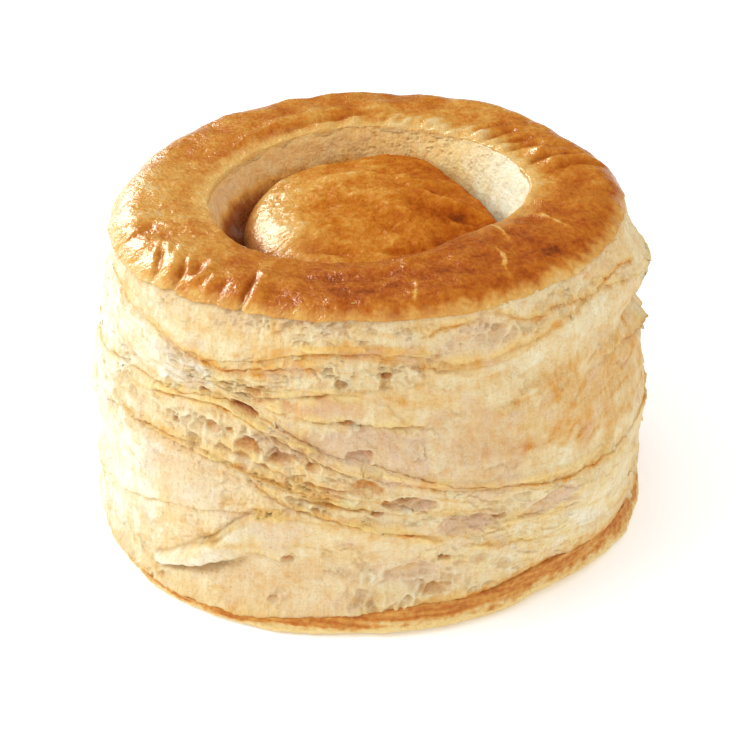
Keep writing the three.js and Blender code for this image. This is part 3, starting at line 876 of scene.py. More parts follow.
def rim_profile():
    """Shares of the way in from the rim's edge to the well, evenly spaced along its rounded section."""
    share = np.linspace(0, 1, 400)
    drop = np.where(share < RIM_CREST_AT, EDGE_BELOW_CREST, LIP_BELOW_CREST)
    height = -drop * from_crest(share) ** RIM_ROUNDING
    length = np.concatenate([[0], np.cumsum(np.hypot(np.diff(share * RIM_WIDTH), np.diff(height)))])
    return np.interp(np.linspace(0, length[-1], RIM_ROWS), length, share)


def near_path(x, y, path):
    """How far each point is from a path of points, and how far along it, from 0 to 1."""
    nearest, along = np.full(x.shape, 99.0), np.zeros(x.shape)
    for step, (start, end) in enumerate(zip(path, path[1:])):
        run = np.subtract(end, start)
        share = np.clip(((x - start[0]) * run[0] + (y - start[1]) * run[1]) / (run @ run), 0, 1)
        distance = np.hypot(x - start[0] - share * run[0], y - start[1] - share * run[1])
        along = np.where(distance < nearest, (step + share) / (len(path) - 1), along)
        nearest = np.minimum(nearest, distance)
    return nearest, along


def glaze_fading(angle):
    """Where the glaze fades out over the side, at the right of the front, instead of ending in an edge."""
    return bell(turn_between(angle, -52) / 34)


def rim_edge(angle):
    """Height of the glazed crust's outer edge."""
    girth = (angle * PER_DEGREE).astype(np.float32)
    frayed = 0.25 * girth_noise(girth, 5, 2) + 0.14 * girth_noise(girth, 1.6, 3)
    frayed = frayed + 0.2 * sum(bell(turn_between(angle, fold) / 1.4) for fold in RIM_FOLDS)
    return seam_height(RIM, angle) + frayed - 1.0 * glaze_fading(angle)


def rim_shape(angle, row):
    """The glazed crust: from under its outer edge, over the crest, and round the lip into the well."""
    girth = (angle * PER_DEGREE).astype(np.float32)
    edge, fading = rim_edge(angle), glaze_fading(angle)
    outer = side_radius(angle, edge) + mix(0.15, 0, fading)
    crest, well = crest_height(angle), well_radius(angle)
    share = rim_profile()[np.clip(row - RIM_UNDER, 0, RIM_ROWS - 1)]
    radius = mix(outer, well, share)
    outside, off_crest = share < RIM_CREST_AT, from_crest(share)
    height = mix(crest, np.where(outside, edge, crest - LIP_BELOW_CREST), off_crest ** RIM_ROUNDING)
    lip_row = RIM_UNDER + RIM_ROWS - 1
    down = np.clip((row - lip_row) / RIM_TURN_DOWN, 0, 1)  # past the lip
    radius = radius - 0.1 * np.minimum(down * 4, 1)
    height = height - LIP_DROP * down ** 1.3

    skin = Skin(*plan(angle, radius))
    shallow = 1 - rise(0, 0.5, down)
    strength = bpy.context.scene.case_sizes.pleats
    for pleat in PLEATS:
        off, along = near_path(skin.x, skin.y, rounded_path(pleat.path))
        off = off + 0.12 * skin.noise(1.6, 1.6, 68)
        tapered = mix(0.45, 1, rise(0, 0.4, along))
        shown = shallow * rise(0, 0.35, along) * rise(1.05, 0.8, along) * bell(off / (pleat.width * tapered))
        skin.out += strength * pleat.depth * shown
        # Paler on a ridge and browner in a fold; a fold also gets painted shade.
        skin.bake -= 0.18 * pleat.depth * shown
        if pleat.depth < 0:
            skin.crease -= 0.3 * pleat.depth * shown
    for bump in BUMPS:
        along = (radius - bump.radius) / bump.long
        across = np.radians(turn_between(angle, bump.angle)) * bump.radius / bump.wide
        shown = bell(np.hypot(along, across) + 0.2 * skin.noise(1, 1, 67))
        skin.out += bump.out * shown * shallow
        skin.bake -= bump.pale * shown
    wrinkled = rise(0.62, 0.9, share) * rise(0.2, 0.8, np.cos(np.radians(angle - 45))) * shallow
    slanted = (girth + 0.5 * radius + 2 * girth_noise(girth, 9, 70)).astype(np.float32)
    folds = noise(slanted, (radius * 0.25).astype(np.float32), 2.8, 1, 73)
    lumps = skin.noises((0.3, 8, 8, 71), (0.22, 3.4, 3.4, 72))
    streaks = noise(girth, radius.astype(np.float32), 5, 1.3, 69) * rise(0.1, 0.5, -np.sin(np.radians(angle)))
    skin.out += lumps + 0.4 * wrinkled * folds + skin.noises((0.05, 1.4, 1.4, 74), (0.03, 0.7, 0.7, 75))
    grainy = 0.2 + 0.8 * bell(turn_between(angle, -162) / 32)
    skin.out += 0.08 * grainy * skin.noise(0.9, 0.9, 59) + 0.05 * grainy * skin.noise(0.55, 0.55, 58)
    blistered = rise(0.25, 0.6, skin.noise(6, 6, 66))
    border, pick, _ = cells(skin.x + 0.3 * skin.noise(2, 2, 65), skin.y, 1.6, 1.5, 9)
    skin.out += 0.08 * blistered * rise(0.4, 0.7, pick) * rise(0, 0.5, border)
    skin.bake += np.interp(angle, *zip(*RIM_BAKE)) - 0.16 * lumps
    skin.bake += skin.noises((0.08, 6, 6, 76), (0.07, 2.4, 2.4, 77)) + 0.03 * streaks
    skin.bake += 0.08 * skin.noise(0.8, 0.8, 63)
    outer_right = rise(0.24, 0.02, share) * bell(turn_between(angle, 45) / 45)
    skin.bake += 0.16 * outer_right - 0.1 * wrinkled - 0.16 * wrinkled * rise(-0.1, 0.6, folds)
    inner_left = rise(0.5, 0.95, share) * bell(turn_between(angle, 150) / 50)
    skin.bake += 0.12 * inner_left
    ragged = 0.05 * girth_noise(girth, 2.4, 78) + 0.03 * skin.noise(0.8, 0.8, 61)
    fringe = rise(0.15, 0, share - ragged)
    skin.bake -= (0.15 + 0.2 * fading) * fringe
    # The fringe is yellower; so is the rim towards the left, which is painted light from the lamps at the
    # left.
    skin.butter += 0.2 * fringe + 0.04 * bell(turn_between(angle, -170) / 36)
    near_lip = rise(0.78, 1, share + 0.06 * skin.noise(2.2, 2.2, 62))
    near_lip = near_lip * rise(-0.8, 0, np.cos(np.radians(angle - 80)))
    skin.bake += (0.4 - skin.bake) * 0.7 * near_lip
    skin.butter += 0.3 * near_lip
    skin.bake += (0.3 - skin.bake) * rise(0.1, 0.9, down)
    for crack in CRACKS:
        distance, along = near_path(skin.x, skin.y, rounded_path(crack))
        ragged = skin.noises((0.2, 1.4, 1.4, 79), (0.12, 0.5, 0.5, 64))
        shown = bell((distance + ragged) / 0.26) * np.sin(math.pi * np.clip(along, 0.06, 0.94)) * (down == 0)
        skin.bake -= 0.42 * shown
        skin.out += 0.12 * shown
    steep = np.where(outside, rise(1, 0.4, off_crest), 1 - rise(0, 0.4, down))
    height = height + skin.out * steep
    radius = radius + skin.out * (1 - steep) * np.where(outside, 1, -1)
    last = lip_row + RIM_TURN_DOWN
    radius, height = with_ends(row, radius, height, {
        0: (outer - 2.6, edge + 0.9), 1: (outer - 1.2, edge + 0.35), 2: (outer - 0.3, edge - 0.06),
        last + 1: (well + 0.4, crest - LIP_BELOW_CREST - LIP_DROP), last + 2: (well + 1.6, crest - 2.4)})
    return radius, height, skin


WELL_COLUMNS, WELL_ROWS = 760, 64
WELL_HIDDEN = 4  # rows under and behind the wall

# The dome's outline in plan, as (angle, radius): it is cut off straight at the back right
DOME_OUTLINE = [(-180, 17.2), (-158, 17.1), (-130, 17), (-90, 18), (-40, 19), (-6, 19.2), (8, 17.7),
                (30, 16.8), (49, 17.5), (63, 19.5), (75, 19.2), (90, 17.9), (108, 16.7), (135, 17),
                (160, 17.3), (180, 17.2)]


def dome_radius(angle):
    """Radius of the dome, with the corners of its outline rounded."""
    around = [turn_between(angle + blur, 0) for blur in (-5, 0, 5)]
    return sum(np.interp(turned, *zip(*DOME_OUTLINE)) for turned in around) / 3


def well_shape(angle, row):
    """The crumb wall of the well, from behind the lip down to the gap round the dome, and on under it."""
    well, lip = well_radius(angle), crest_height(angle) - 0.9
    down = np.clip(row / (WELL_ROWS - 1), 0, 1)
    height = mix(lip, MOAT_HEIGHT, down)
    skin = Skin(angle * PER_DEGREE, height)
    left, right = bell(turn_between(angle, 175) / 50), bell(turn_between(angle, 12) / 36)
    skin.out -= skin.noises((0.25, 4, 3, 80), (0.12, 2, 1.6, 81), (0.05, 0.6, 0.5, 82))
    open_crumb = bell(turn_between(angle, 62) / 46)
    bent = skin.y + 0.3 * skin.noise(2, 2, 84)
    border, pick, above = cells(skin.x, bent + 0.1 * skin.x, 0.85, 0.7, 8)
    pit = rise(0.1, 0.5, border) * rise(0.6, 0.85, pick) * mix(0.04, 1, open_crumb) * rise(0.75, 0.4, down)
    skin.out += 0.2 * pit - 0.16 * right * skin.noise(2.4, 6, 86)
    # Painted shade in the pits, darkest under their upper edges.
    skin.pore += 0.6 * pit * rise(-0.4, 0.3, above)
    orange = rise(0.42, 0.85, down + 0.15 * skin.noise(4, 2, 87))
    # Painted light and shade: the wall is painted much paler at the right, where the lamps at the left fall
    # on it, and a little browner at the left, in shade.
    skin.bake += 0.4 + 0.07 * left - 0.34 * right + 0.2 * orange * (1 - 0.8 * right)
    skin.bake += skin.noises((0.05, 5, 2, 83), (0.05, 1.2, 3, 85))
    # Painted shade at the left: browner low down towards the shaded gap round the dome, and pinker partway
    # down.
    skin.bake += 0.28 * rise(0.42, 0.8, down) * bell(turn_between(angle, -172) / 50)
    skin.blush += 0.35 * left * rise(0, 0.2, down) * rise(0.6, 0.35, down)
    # Painted shade at the foot of the wall.
    skin.crease += 0.15 * rise(0.75, 0.98, down)
    taper = 1.5 + 1.9 * left + 1.6 * right
    radius = well - 0.25 + 0.2 * rise(0.16, 0, down) - taper * down ** 1.3 + skin.out
    gap = dome_radius(angle) + 0.35
    radius = np.maximum(radius, gap)
    under = dome_radius(angle) - 2
    radius, height = with_ends(row, radius, height, {
        WELL_ROWS: (under, MOAT_HEIGHT - 0.3), WELL_ROWS + 1: (under, MOAT_HEIGHT - 1.5),
        WELL_ROWS + 2: (well + 2, MOAT_HEIGHT - 1.5), WELL_ROWS + 3: (well + 2, lip - 0.3)})
    return radius, height, skin


DOME_COLUMNS, DOME_ROWS = 560, 130
DOME_EDGE_HEIGHT = 42.5
# Folds and low ridges across the dome, as (path in plan, width, how far out)
DOME_FOLDS = [([(5, 5), (10, 2.8), (18.5, -1.4)], 0.7, 0.6), ([(4, 2.6), (9, 0.6), (17, -3.2)], 0.8, -0.4),
              ([(-13, -9), (-4, -11), (6, -10), (13, -6)], 0.8, -0.35), ([(-9, 8), (0, 9.4), (7, 8)], 1, 0.3),
              ([(-10, -1), (-2, 1), (4, 0)], 0.7, -0.3), ([(-15, 2), (-12, -5), (-8, -9)], 0.9, 0.3)]


def dome_shape(angle, row):
    """The browned dome that rose in the well: a lumpy pillow with a round shoulder."""
    middle_rise = bpy.context.scene.case_sizes.dome_rise / MM
    inwards = np.clip(row / (DOME_ROWS - 1), 0, 1) ** 1.25
    full = dome_radius(angle)
    radius = full * (1 - inwards)
    shoulder = np.clip(inwards * full / (1.7 + 5 * bell(turn_between(angle, 198) / 42)), 0, 1)
    x, y = plan(angle, radius)
    dip = 1.1 * rise(2, -6, y) * rise(-14, 4, x) + 0.7 * rise(6, 17, x)
    top = DOME_EDGE_HEIGHT + middle_rise * rise(0, 0.8, inwards) + 0.035 * y - dip
    height = mix(MOAT_HEIGHT, top, np.sqrt(1 - (1 - shoulder) ** 2))
    skin = Skin(x, y)
    bent = skin.y + 0.12 * skin.x + 0.5 * skin.noise(5, 5, 95)
    ripples = noise(skin.x, bent, 6, 2.8, 91)
    lumps = 0.36 * skin.noise(6, 4.5, 90) + 0.2 * ripples + 0.12 * skin.noise(2.2, 1.8, 92)
    for path, width, out in DOME_FOLDS:
        distance, along = near_path(x, y, path)
        lumps = lumps + out * bell(distance / width) * rise(0, 0.3, along) * rise(1.1, 0.8, along)
    skin.out += lumps + skin.noises((0.08, 0.8, 0.7, 96), (0.14, 1.5, 1.3, 97))
    lit_left_end = bell(turn_between(angle, 190) / 45) * rise(8, 14, radius)
    skin.out += 0.08 * lit_left_end * skin.noise(0.7, 0.7, 89)
    border, pick, _ = cells(skin.x, skin.y, 1.3, 1.1, 19)
    skin.out += 0.1 * rise(0.5, 0.8, pick) * rise(0, 0.5, border)
    # Painted highlight: the dome's left end, where the glaze catches the lamps, is painted paler and
    # yellower.
    skin.bake += 0.63 + 0.16 * rise(-2, 12, x) - 0.15 * rise(-4, -14, x) - 0.22 * lumps
    skin.bake -= 0.25 * (skin.out - lumps)
    skin.butter += 0.2 * lit_left_end
    skin.bake += skin.noises((0.08, 5, 3, 93), (0.07, 1.6, 1.3, 94), (0.04, 0.7, 0.7, 98))
    # Painted shade: darker and browner low down, towards the shaded gap round the dome.
    low = rise(41.8, 39.4, height)
    skin.bake += 0.35 * low
    skin.crease += 0.6 * low
    height = height + skin.out * shoulder
    radius, height = with_ends(row, radius, height, {
        DOME_ROWS: (full - 1.5, MOAT_HEIGHT - 0.2), DOME_ROWS + 1: (0 * full, MOAT_HEIGHT - 0.2)})
    return radius, height, skin


FOOT_COLUMNS, FOOT_ROWS = 800, 40
FOOT_UNDER = (0, 0.3, 0.6, 0.8, 0.92, 1)  # rows of the flat underside, as shares of its radius


def foot_shape(angle, row):
    """The browned foot: a thin plate with a rounded, leafy edge and a flat underside."""
    top = seam_height(FOOT, angle)
    up = np.clip((row - len(FOOT_UNDER)) / (FOOT_ROWS - 1), 0, 1)
    height = top * up
    skin = Skin(angle * PER_DEGREE, height)
    hidden = rise(20, 6, np.abs(turn_between(angle, -158)))
    skin.out += mix(0.1, -0.5, hidden) - 1.3 * rise(0.3, 0, up) ** 2
    skin.out -= 1.2 * bell(turn_between(angle, 12) / 26)
    skin.out += skin.noises((0.16, 4, 0.9, 100), (0.12, 1.2, 0.7, 101), (0.1, 7, 0.5, 102))
    skin.out += skin.noises((0.05, 0.5, 0.5, 104), (0.25, 5, 5, 105))
    crumbly = bell(turn_between(angle, -158) / 24)
    ragged = skin.noises((0.2, 3, 2, 106), (0.14, 0.9, 0.7, 107))
    skin.bake += 0.2 + mix(0.38, 0.12, crumbly) * rise(0.2, 0.7, up + ragged)
    skin.bake += skin.noises((0.16, 6, 0.5, 103), (0.12, 0.8, 0.6, 108))
    skin.butter += 0.75 * rise(0.62, 0.3, up + ragged)
    # Painted shade at the top of the foot, under the leaf that overhangs it.
    skin.crease += 0.15 * rise(0.92, 1, up)
    skin.bake = np.where(row < len(FOOT_UNDER), 0.55, skin.bake)
    radius = side_radius(angle, height) + skin.out
    flat = side_radius(angle, 0 * height) - 1.6
    last = FOOT_ROWS + len(FOOT_UNDER)
    ends = {at: (flat * share, 0 * flat) for at, share in enumerate(FOOT_UNDER)}
    ends.update({last: (radius - 0.5, top + 0.05), last + 1: (radius - 2.5, np.maximum(top - 0.3, 0.2)),
                 last + 2: (0 * flat, 0 * flat + 1)})
    radius, height = with_ends(row, radius, height, ends)
    return radius, height, skin


# Materials

# Browning, from whitish cream to the darkest crust, as (how baked, colour)
BROWNING = [
    (0.0, (0.88, 0.83, 0.66)),
    (0.13, (0.81, 0.675, 0.41)),
    (0.3, (0.75, 0.51, 0.22)),
    (0.48, (0.70, 0.325, 0.055)),
    (0.66, (0.56, 0.175, 0.012)),
    (0.84, (0.42, 0.086, 0.003)),
    (1.0, (0.21, 0.037, 0.003)),
]
# The same for the crumb of the well's wall, paler and yellower: partly its own colour, partly painted light
# for the light that the deep well does not get
BRIGHTENED_WELL_BROWNING = [
    (0.0, (0.97, 0.92, 0.69)),
    (0.3, (0.92, 0.68, 0.3)),
    (0.55, (0.83, 0.41, 0.08)),
    (0.8, (0.42, 0.11, 0.012)),
    (1.0, (0.2, 0.035, 0.003)),
]

GLAZE, DOME_GLAZE = 0.6, 0.1  # strength of the egg glaze on the rim, and on the dome away from its left end


class Paint:
    """Builds a material's nodes."""

    def __init__(self, name):
        self.material = bpy.data.materials.new(name)
        self.material.use_nodes = True
        self.tree = self.material.node_tree
        self.shader = self.tree.nodes["Principled BSDF"]
        self.place = self.tree.nodes.new("ShaderNodeTexCoord").outputs["Object"]

    def node(self, kind, **settings):
        made = self.tree.nodes.new(kind)
        for name, value in settings.items():
            setattr(made, name, value)
        return made

    def join(self, output, entry):
        self.tree.links.new(output, entry)

    def feed(self, entry, value):
        """Joins an output to the entry, or sets the entry to a plain value."""
        if isinstance(value, bpy.types.NodeSocket):
            self.join(value, entry)
        else:
            entry.default_value = value

    def surface(self, **values):
        """Sets the shader's entries, named with _ for each space."""
        for name, value in values.items():
            self.feed(self.shader.inputs[name.replace("_", " ")], value)

    def finish(self, name):
        return self.node("ShaderNodeAttribute", attribute_name=name).outputs["Fac"]

    def place_parts(self):
        """The X, Y and Z of the object coordinates."""
        apart = self.node("ShaderNodeSeparateXYZ")
        self.join(self.place, apart.inputs["Vector"])
        return apart.outputs

    def leafy_place(self):
        """Object coordinates whose height follows the leaves."""
        along_x, along_y, _ = self.place_parts()
        together = self.node("ShaderNodeCombineXYZ")
        for entry, value in zip(together.inputs, (along_x, along_y, self.finish("flow"))):
            self.join(value, entry)
        return together.outputs["Vector"]

    def noise(self, size, detail=2.0, place=None):
        """Noise with lumps of that many millimetres along each axis."""
        mapping = self.node("ShaderNodeMapping")
        mapping.inputs["Scale"].default_value = [1 / (length * MM) for length in size]
        self.join(place or self.place, mapping.inputs["Vector"])
        texture = self.node("ShaderNodeTexNoise")
        texture.inputs["Scale"].default_value = 1.0
        texture.inputs["Detail"].default_value = detail
        self.join(mapping.outputs["Vector"], texture.inputs["Vector"])
        return texture.outputs["Fac"]

    def math(self, operation, *values):
        made = self.node("ShaderNodeMath", operation=operation)
        for entry, value in zip(made.inputs, values):
            self.feed(entry, value)
        return made.outputs["Value"]

    def between(self, value, low, high, least=0.0, most=1.0):
        """value brought from low..high to least..most, and kept within."""
        made = self.node("ShaderNodeMapRange", interpolation_type="SMOOTHSTEP")
        for entry, number in zip(("From Min", "From Max", "To Min", "To Max"), (low, high, least, most)):
            made.inputs[entry].default_value = number
        self.join(value, made.inputs["Value"])
        return made.outputs["Result"]

    def ramp(self, factor, stops):
        made = self.node("ShaderNodeValToRGB")
        marks = made.color_ramp.elements
        for _ in stops[2:]:
            marks.new(0.5)
        for mark, (at, colour) in zip(marks, stops):
            mark.position = at
            mark.color = (*colour, 1)
        self.join(factor, made.inputs["Fac"])
        return made.outputs["Color"]

    def tint(self, factor, colour, other, blend="MIX"):
        """colour, moved towards other by factor."""
        made = self.node("ShaderNodeMix", data_type="RGBA", blend_type=blend)
        self.join(factor, made.inputs["Factor"])
        self.join(colour, made.inputs[6])
        made.inputs[7].default_value = (*other, 1)
        return made.outputs[2]

    def shade(self, colour, lumps, low, high, strength, darker_colour):
        """colour, multiplied by a darker colour where the lumps rise from low to high."""
        return self.tint(self.between(lumps, low, high, 0, strength), colour, darker_colour, "MULTIPLY")

    def bump(self, height, distance, before=None):
        made = self.node("ShaderNodeBump")
        made.inputs["Distance"].default_value = distance * MM
        self.join(height, made.inputs["Height"])
        if before is not None:
            self.join(before, made.inputs["Normal"])
        return made.outputs["Normal"]


def pastry_paint(name, mottle, roughness, browning=BROWNING):
    """Baked pastry: browned by its bake, yellow at its buttery edges, pinkish where it is a thin skin, and
    darker where shade is painted into its creases and pores."""
    paint = Paint(name)
    colours = bpy.context.scene.case_colours
    clouds = paint.noise((3, 3, 2), detail=3)
    speckle = paint.noise((0.6, 0.6, 0.4), detail=3)
    bake = paint.math("MULTIPLY_ADD", paint.math("SUBTRACT", clouds, 0.5), mottle, paint.finish("bake"))
    bake = paint.math("MULTIPLY_ADD", paint.math("SUBTRACT", speckle, 0.5), mottle * 0.8, bake)
    colour = paint.ramp(bake, browning)
    colour = paint.tint(paint.finish("blush"), colour, colours.skin[:])
    colour = paint.tint(paint.finish("butter"), colour, colours.butter[:])
    # Painted shade: the colour is multiplied darker in folds and in holes of the crumb.
    colour = paint.tint(paint.finish("crease"), colour, colours.crease[:], "MULTIPLY")
    colour = paint.tint(paint.finish("pore"), colour, colours.pore[:], "MULTIPLY")
    paint.surface(Roughness=paint.math("MULTIPLY_ADD", speckle, 0.16, roughness - 0.08),
                  Subsurface_Weight=0.15, Subsurface_Radius=(1.0, 0.55, 0.25), Subsurface_Scale=0.8 * MM)
    return paint, colour


def leaf_material(name, worn=1.0, browning=BROWNING):
    """Matt flaky pastry; worn is how strongly it is blotched and flecked."""
    paint, colour = pastry_paint(name, 0.2 * worn, 0.72, browning)
    leafy = paint.leafy_place()
    layers = paint.noise((4, 4, 0.5), detail=3, place=leafy)
    patches = paint.noise((4, 4, 3), detail=2)
    colour = paint.tint(paint.between(patches, 0.5, 0.75, 0, 0.45 * worn), colour, (0.74, 0.55, 0.38))
    blotches = paint.noise((1.4, 1.4, 1.4), detail=3)
    colour = paint.shade(colour, blotches, 0.52, 0.74, 0.5 * worn, (0.9, 0.72, 0.5))
    fibres = paint.noise((0.5, 0.5, 3), detail=3)
    colour = paint.shade(colour, fibres, 0.52, 0.72, 0.45 * worn, (0.93, 0.84, 0.7))
    flecks = paint.noise((0.35, 0.35, 0.3), detail=2)
    colour = paint.shade(colour, flecks, 0.56, 0.72, 0.75 * worn, (0.86, 0.74, 0.58))
    colour = paint.shade(colour, layers, 0.6, 0.72, 0.2 * worn, (0.86, 0.66, 0.40))
    grain = paint.noise((0.35, 0.35, 0.35), detail=4)
    crumbs = paint.noise((0.9, 0.9, 0.8), detail=3)
    normal = paint.bump(grain, 0.18, paint.bump(fibres, 0.12, paint.bump(crumbs, 0.26)))
    paint.surface(Base_Color=colour, Specular_IOR_Level=0.3, Normal=normal)
    return paint.material


def crust_material(right_glaze=GLAZE):
    """Egg-glazed crust; right_glaze is how strong the glaze is from 8 mm left of the middle rightwards."""
    paint, colour = pastry_paint("glazed_crust", 0.3, 0.6)
    glaze = paint.between(paint.place_parts()["X"], -14 * MM, -8 * MM, GLAZE, right_glaze)
    grain = paint.noise((0.42, 0.42, 0.42), detail=3)
    blisters = paint.noise((1.2, 1.2, 1.2), detail=2)
    paint.surface(Base_Color=colour, Specular_IOR_Level=0.02, Coat_Weight=glaze, Coat_Roughness=0.2,
                  Coat_Normal=paint.bump(grain, 0.12, paint.bump(blisters, 0.1)),
                  Normal=paint.bump(grain, 0.3, paint.bump(blisters, 0.28)))
    return paint.material


def foot_material():
    """Dry browned pastry, streaked along the foot."""
    paint, colour = pastry_paint("browned_foot", 0.24, 0.6)
    streaks = paint.noise((2, 2, 0.3), detail=3)
    grains = paint.noise((0.4, 0.4, 0.3), detail=2)
    colour = paint.shade(colour, grains, 0.55, 0.7, 0.6, (0.8, 0.62, 0.4))
    paint.surface(Base_Color=colour, Normal=paint.bump(grains, 0.2, paint.bump(streaks, 0.25)))
    return paint.material


# Settings


def colour_setting(name, description, default):
    return FloatVectorProperty(name=name, description=description, subtype="COLOR", size=3, min=0, max=1,
                               default=default)


def length_setting(name, description, default, precision=3):
    return FloatProperty(name=name, description=description, unit="LENGTH", default=default, min=0,
                         precision=precision)


def strength_setting(name, description, default, unit="NONE"):
    return FloatProperty(name=name, description=description, unit=unit, default=default, min=0)


class CaseColours(bpy.types.PropertyGroup):
    """Colours of the baked case, apart from its browning."""

    skin: colour_setting("Thin skin", "Pinkish colour of the thinnest skins of pastry", (0.72, 0.51, 0.34))
    butter: colour_setting("Buttery edge", "Yellow of the leaves' thick edges", (0.86, 0.63, 0.24))
    # The next two are painted shade: what a fold and a hole of the crumb multiply the colour by.
    crease: colour_setting("Crease", "What a deep crease multiplies the colour by", (0.62, 0.51, 0.38))
    pore: colour_setting("Pore", "What a hole in the crumb multiplies the colour by", (0.6, 0.43, 0.26))


class CaseSizes(bpy.types.PropertyGroup):
    """Sizes of the case's details."""

    leaf_lip: length_setting("Leaf lip", "How far the leaves' free edges stand out", 0.00032, precision=5)
    pleats: strength_setting("Pleats", "How strongly the folds and ridges of the glaze stand out", 1.0)
    dome_rise: length_setting("Dome rise", "How far the dome's middle is above its edge", 0.0011, precision=4)
    flake_count: IntProperty(name="Flakes", description="How many small flakes are drawn on the side",
                             default=170, min=0)
    flake_thickness: length_setting("Flake thickness", "Thickness of a flake", 0.00012, precision=5)


class StageSettings(bpy.types.PropertyGroup):
    """The camera and the light."""

    elevation: FloatProperty(name="Elevation", description="How far the camera looks down",
                             subtype="ANGLE", default=math.radians(31.1))
    distance: length_setting("Distance", "From the camera to what it looks at", 0.28)
    look_at_height: length_setting("Look-at height", "Height of what the camera looks at", 0.016)
    look_at_side: length_setting("Look-at side", "Its place to the right of the axis", 0.00109, precision=5)
    lens: FloatProperty(name="Lens", description="Focal length in millimetres", default=92.64, min=10)
    sky: strength_setting("Sky", "Strength of the light from all round", 1.0)
    sheen_sky: strength_setting("Sky in the glaze", "Strength of the sky that gloss reflects", 0.05)
    key: strength_setting("Key light", "Power of the large soft lamp", 1.25, "POWER")
    side: strength_setting("Side light", "Power of the lamp at the left", 1.1, "POWER")
    gloss: strength_setting("Gloss light", "Power of the lamps that the glaze reflects", 3.7, "POWER")
    floor_glow: strength_setting("Floor glow", "How far the floor lights up its own shadows", 0.14)


# Operators, one for each piece or group of like pieces


class PASTRY_OT_foot(bpy.types.Operator):
    """Makes the thin browned foot"""

    bl_idname = "pastry.foot"
    bl_label = "Foot"

    def execute(self, context):
        rows = len(FOOT_UNDER) + FOOT_ROWS + 2
        shaped_piece("foot", FOOT_COLUMNS, rows, foot_shape, foot_material(), closed=False)
        return {"FINISHED"}


class PASTRY_OT_leaves(bpy.types.Operator):
    """Makes the leaves of the side, one ring between each two seams"""

    bl_idname = "pastry.leaves"
    bl_label = "Leaves"

    def execute(self, context):
        material = leaf_material("flaky_leaf")
        for band, (rows, columns) in enumerate(LEAF_GRIDS):
            shape, all_rows = leaf_shape(band, rows)
            shaped_piece(f"leaf_{band + 1}", columns, all_rows, shape, material)
        return {"FINISHED"}


class PASTRY_OT_flakes(bpy.types.Operator):
    """Makes the small torn flakes that stand out from the side"""

    bl_idname = "pastry.flakes"
    bl_label = "Flakes"

    def execute(self, context):
        sizes = context.scene.case_sizes
        flakes = drawn_flakes(sizes.flake_count) + FLAKES
        grids = bmesh.new()
        for _ in flakes:
            bmesh.ops.create_grid(grids, x_segments=FLAKE_GRID[0], y_segments=FLAKE_GRID[1], size=1)
        mesh = bpy.data.meshes.new("flakes")
        grids.to_mesh(mesh)
        grids.free()
        across, along = grid_places(mesh).reshape(2, len(flakes), -1)
        radius, angle, height, skin = flake_shape(np.array(flakes, dtype=float), across, (along + 1) / 2)
        place_points(mesh, radius, np.radians(angle), height, skin)
        piece = finished_piece("flakes", mesh, leaf_material("flake", worn=0.7))
        sheet = piece.modifiers.new("thickness", "SOLIDIFY")
        sheet.thickness = sizes.flake_thickness
        sheet.offset = 0
        return {"FINISHED"}


class PASTRY_OT_rim(bpy.types.Operator):
    """Makes the glazed rim"""

    bl_idname = "pastry.rim"
    bl_label = "Rim"

    def execute(self, context):
        rows = RIM_UNDER + RIM_ROWS + RIM_TURN_DOWN + RIM_HIDDEN
        shaped_piece("rim", RIM_COLUMNS, rows, rim_shape, crust_material())
        return {"FINISHED"}


class PASTRY_OT_well(bpy.types.Operator):
    """Makes the wall of the well and the dome in it"""

    bl_idname = "pastry.well"
    bl_label = "Well"

    def execute(self, context):
        crumb = leaf_material("well_crumb", 0.4, BRIGHTENED_WELL_BROWNING)
        shaped_piece("well_wall", WELL_COLUMNS, WELL_ROWS + WELL_HIDDEN, well_shape, crumb)
        crust = crust_material(DOME_GLAZE)
        shaped_piece("dome", DOME_COLUMNS, DOME_ROWS + 1, dome_shape, crust, closed=False)
        return {"FINISHED"}


COOL, WARM, WHITE = (0.74, 0.88, 1.0), (1.0, 0.95, 0.84), (1, 1, 1, 1)  # colours of the lamps and the stage


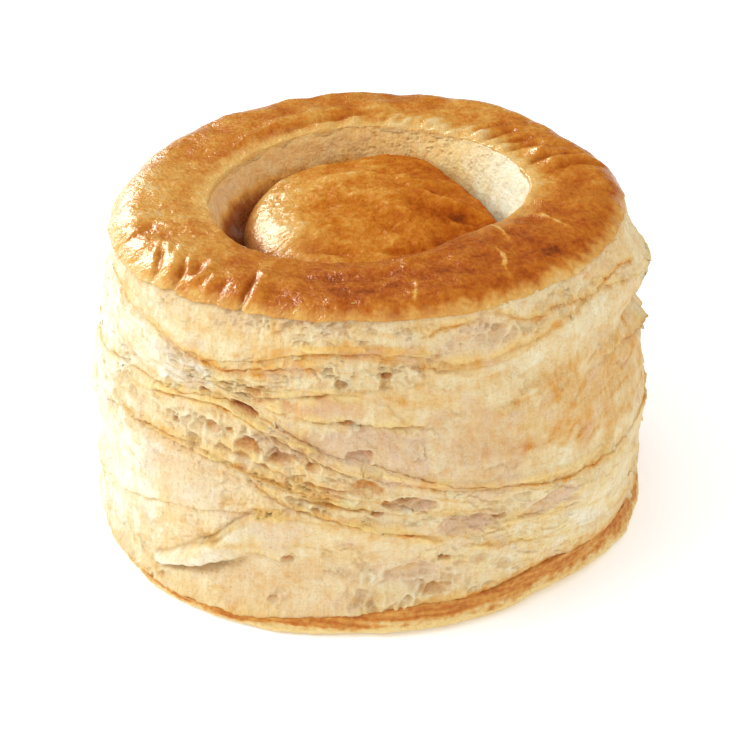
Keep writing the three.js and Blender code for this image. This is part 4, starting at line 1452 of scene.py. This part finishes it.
class PASTRY_OT_stage(bpy.types.Operator):
    """Makes the floor, the lights and the camera"""

    bl_idname = "pastry.stage"
    bl_label = "Stage"

    def lamp(self, name, place, aim, size, power, colour, in_gloss=False):
        light = bpy.data.lights.new(name, "AREA")
        light.shape = "DISK"
        light.size = size
        light.energy = power
        light.color = colour
        lamp = bpy.data.objects.new(name, light)
        lamp.location = place
        lamp.rotation_euler = (aim - Vector(place)).to_track_quat("-Z", "Y").to_euler()
        lamp.visible_diffuse, lamp.visible_glossy = not in_gloss, in_gloss
        bpy.context.scene.collection.objects.link(lamp)

    def execute(self, context):
        settings = context.scene.stage_settings
        aim = Vector((settings.look_at_side, 0, settings.look_at_height))
        down = settings.elevation
        back = Vector((0, -math.cos(down), math.sin(down)))
        camera = bpy.data.objects.new("camera", bpy.data.cameras.new("camera"))
        camera.data.lens = settings.lens
        camera.data.clip_start = 0.01
        camera.location = aim + settings.distance * back
        camera.rotation_euler = (-back).to_track_quat("-Z", "Y").to_euler()
        context.scene.collection.objects.link(camera)
        context.scene.camera = camera

        floor_mesh = bmesh.new()
        bmesh.ops.create_grid(floor_mesh, x_segments=2, y_segments=2, size=3)
        mesh = bpy.data.meshes.new("floor")
        floor_mesh.to_mesh(mesh)
        floor_mesh.free()
        floor = bpy.data.objects.new("floor", mesh)
        paper = Paint("floor")
        paper.surface(Base_Color=WHITE, Roughness=0.9, Specular_IOR_Level=0.1, Emission_Color=WHITE,
                      Emission_Strength=settings.floor_glow)
        mesh.materials.append(paper.material)
        context.scene.collection.objects.link(floor)

        gloss = settings.gloss
        self.lamp("key", (-0.5, -0.14, 0.46), aim, 0.5, settings.key, COOL)
        self.lamp("side", (-0.56, 0.02, 0.26), aim, 0.35, settings.side, COOL)
        self.lamp("gloss_high", (-0.35, 0.37, 0.34), aim, 0.28, gloss, WARM, in_gloss=True)
        self.lamp("gloss_low", (-0.36, 0.46, 0.18), aim, 0.26, 0.8 * gloss, WARM, in_gloss=True)
        world = bpy.data.worlds.new("sky")
        world.use_nodes = True
        sky = world.node_tree.nodes["Background"]
        sky.inputs["Color"].default_value = WHITE
        path = world.node_tree.nodes.new("ShaderNodeLightPath")
        strength = world.node_tree.nodes.new("ShaderNodeMapRange")
        strength.inputs["To Min"].default_value = settings.sky
        strength.inputs["To Max"].default_value = settings.sheen_sky
        world.node_tree.links.new(path.outputs["Is Glossy Ray"], strength.inputs["Value"])
        world.node_tree.links.new(strength.outputs["Result"], sky.inputs["Strength"])
        context.scene.world = world
        context.scene.view_settings.view_transform = "Standard"
        return {"FINISHED"}


class PASTRY_PT_panel(bpy.types.Panel):
    """Lists the pieces and the settings"""

    bl_label = "Vol-au-vent case"
    bl_idname = "PASTRY_PT_panel"
    bl_space_type = "VIEW_3D"
    bl_region_type = "UI"
    bl_category = "Pastry"

    def draw(self, context):
        for operator in OPERATORS:
            self.layout.operator(operator.bl_idname)
        for group in (getattr(context.scene, name) for name in GROUPS):
            for setting in group.__annotations__:
                self.layout.prop(group, setting)


OPERATORS = (PASTRY_OT_stage, PASTRY_OT_foot, PASTRY_OT_leaves, PASTRY_OT_flakes, PASTRY_OT_rim,
             PASTRY_OT_well)
GROUPS = {"case_colours": CaseColours, "case_sizes": CaseSizes, "stage_settings": StageSettings}
CLASSES = (*GROUPS.values(), *OPERATORS, PASTRY_PT_panel)


def register():
    for entry in CLASSES:
        bpy.utils.register_class(entry)
    for name, group in GROUPS.items():
        setattr(bpy.types.Scene, name, PointerProperty(type=group))


def unregister():
    for name in GROUPS:
        delattr(bpy.types.Scene, name)
    for entry in reversed(CLASSES):
        bpy.utils.unregister_class(entry)


def main():
    register()
    bpy.ops.pastry.stage()
    bpy.ops.pastry.foot()
    bpy.ops.pastry.leaves()
    bpy.ops.pastry.flakes()
    bpy.ops.pastry.rim()
    bpy.ops.pastry.well()


if __name__ == "__main__":
    main()
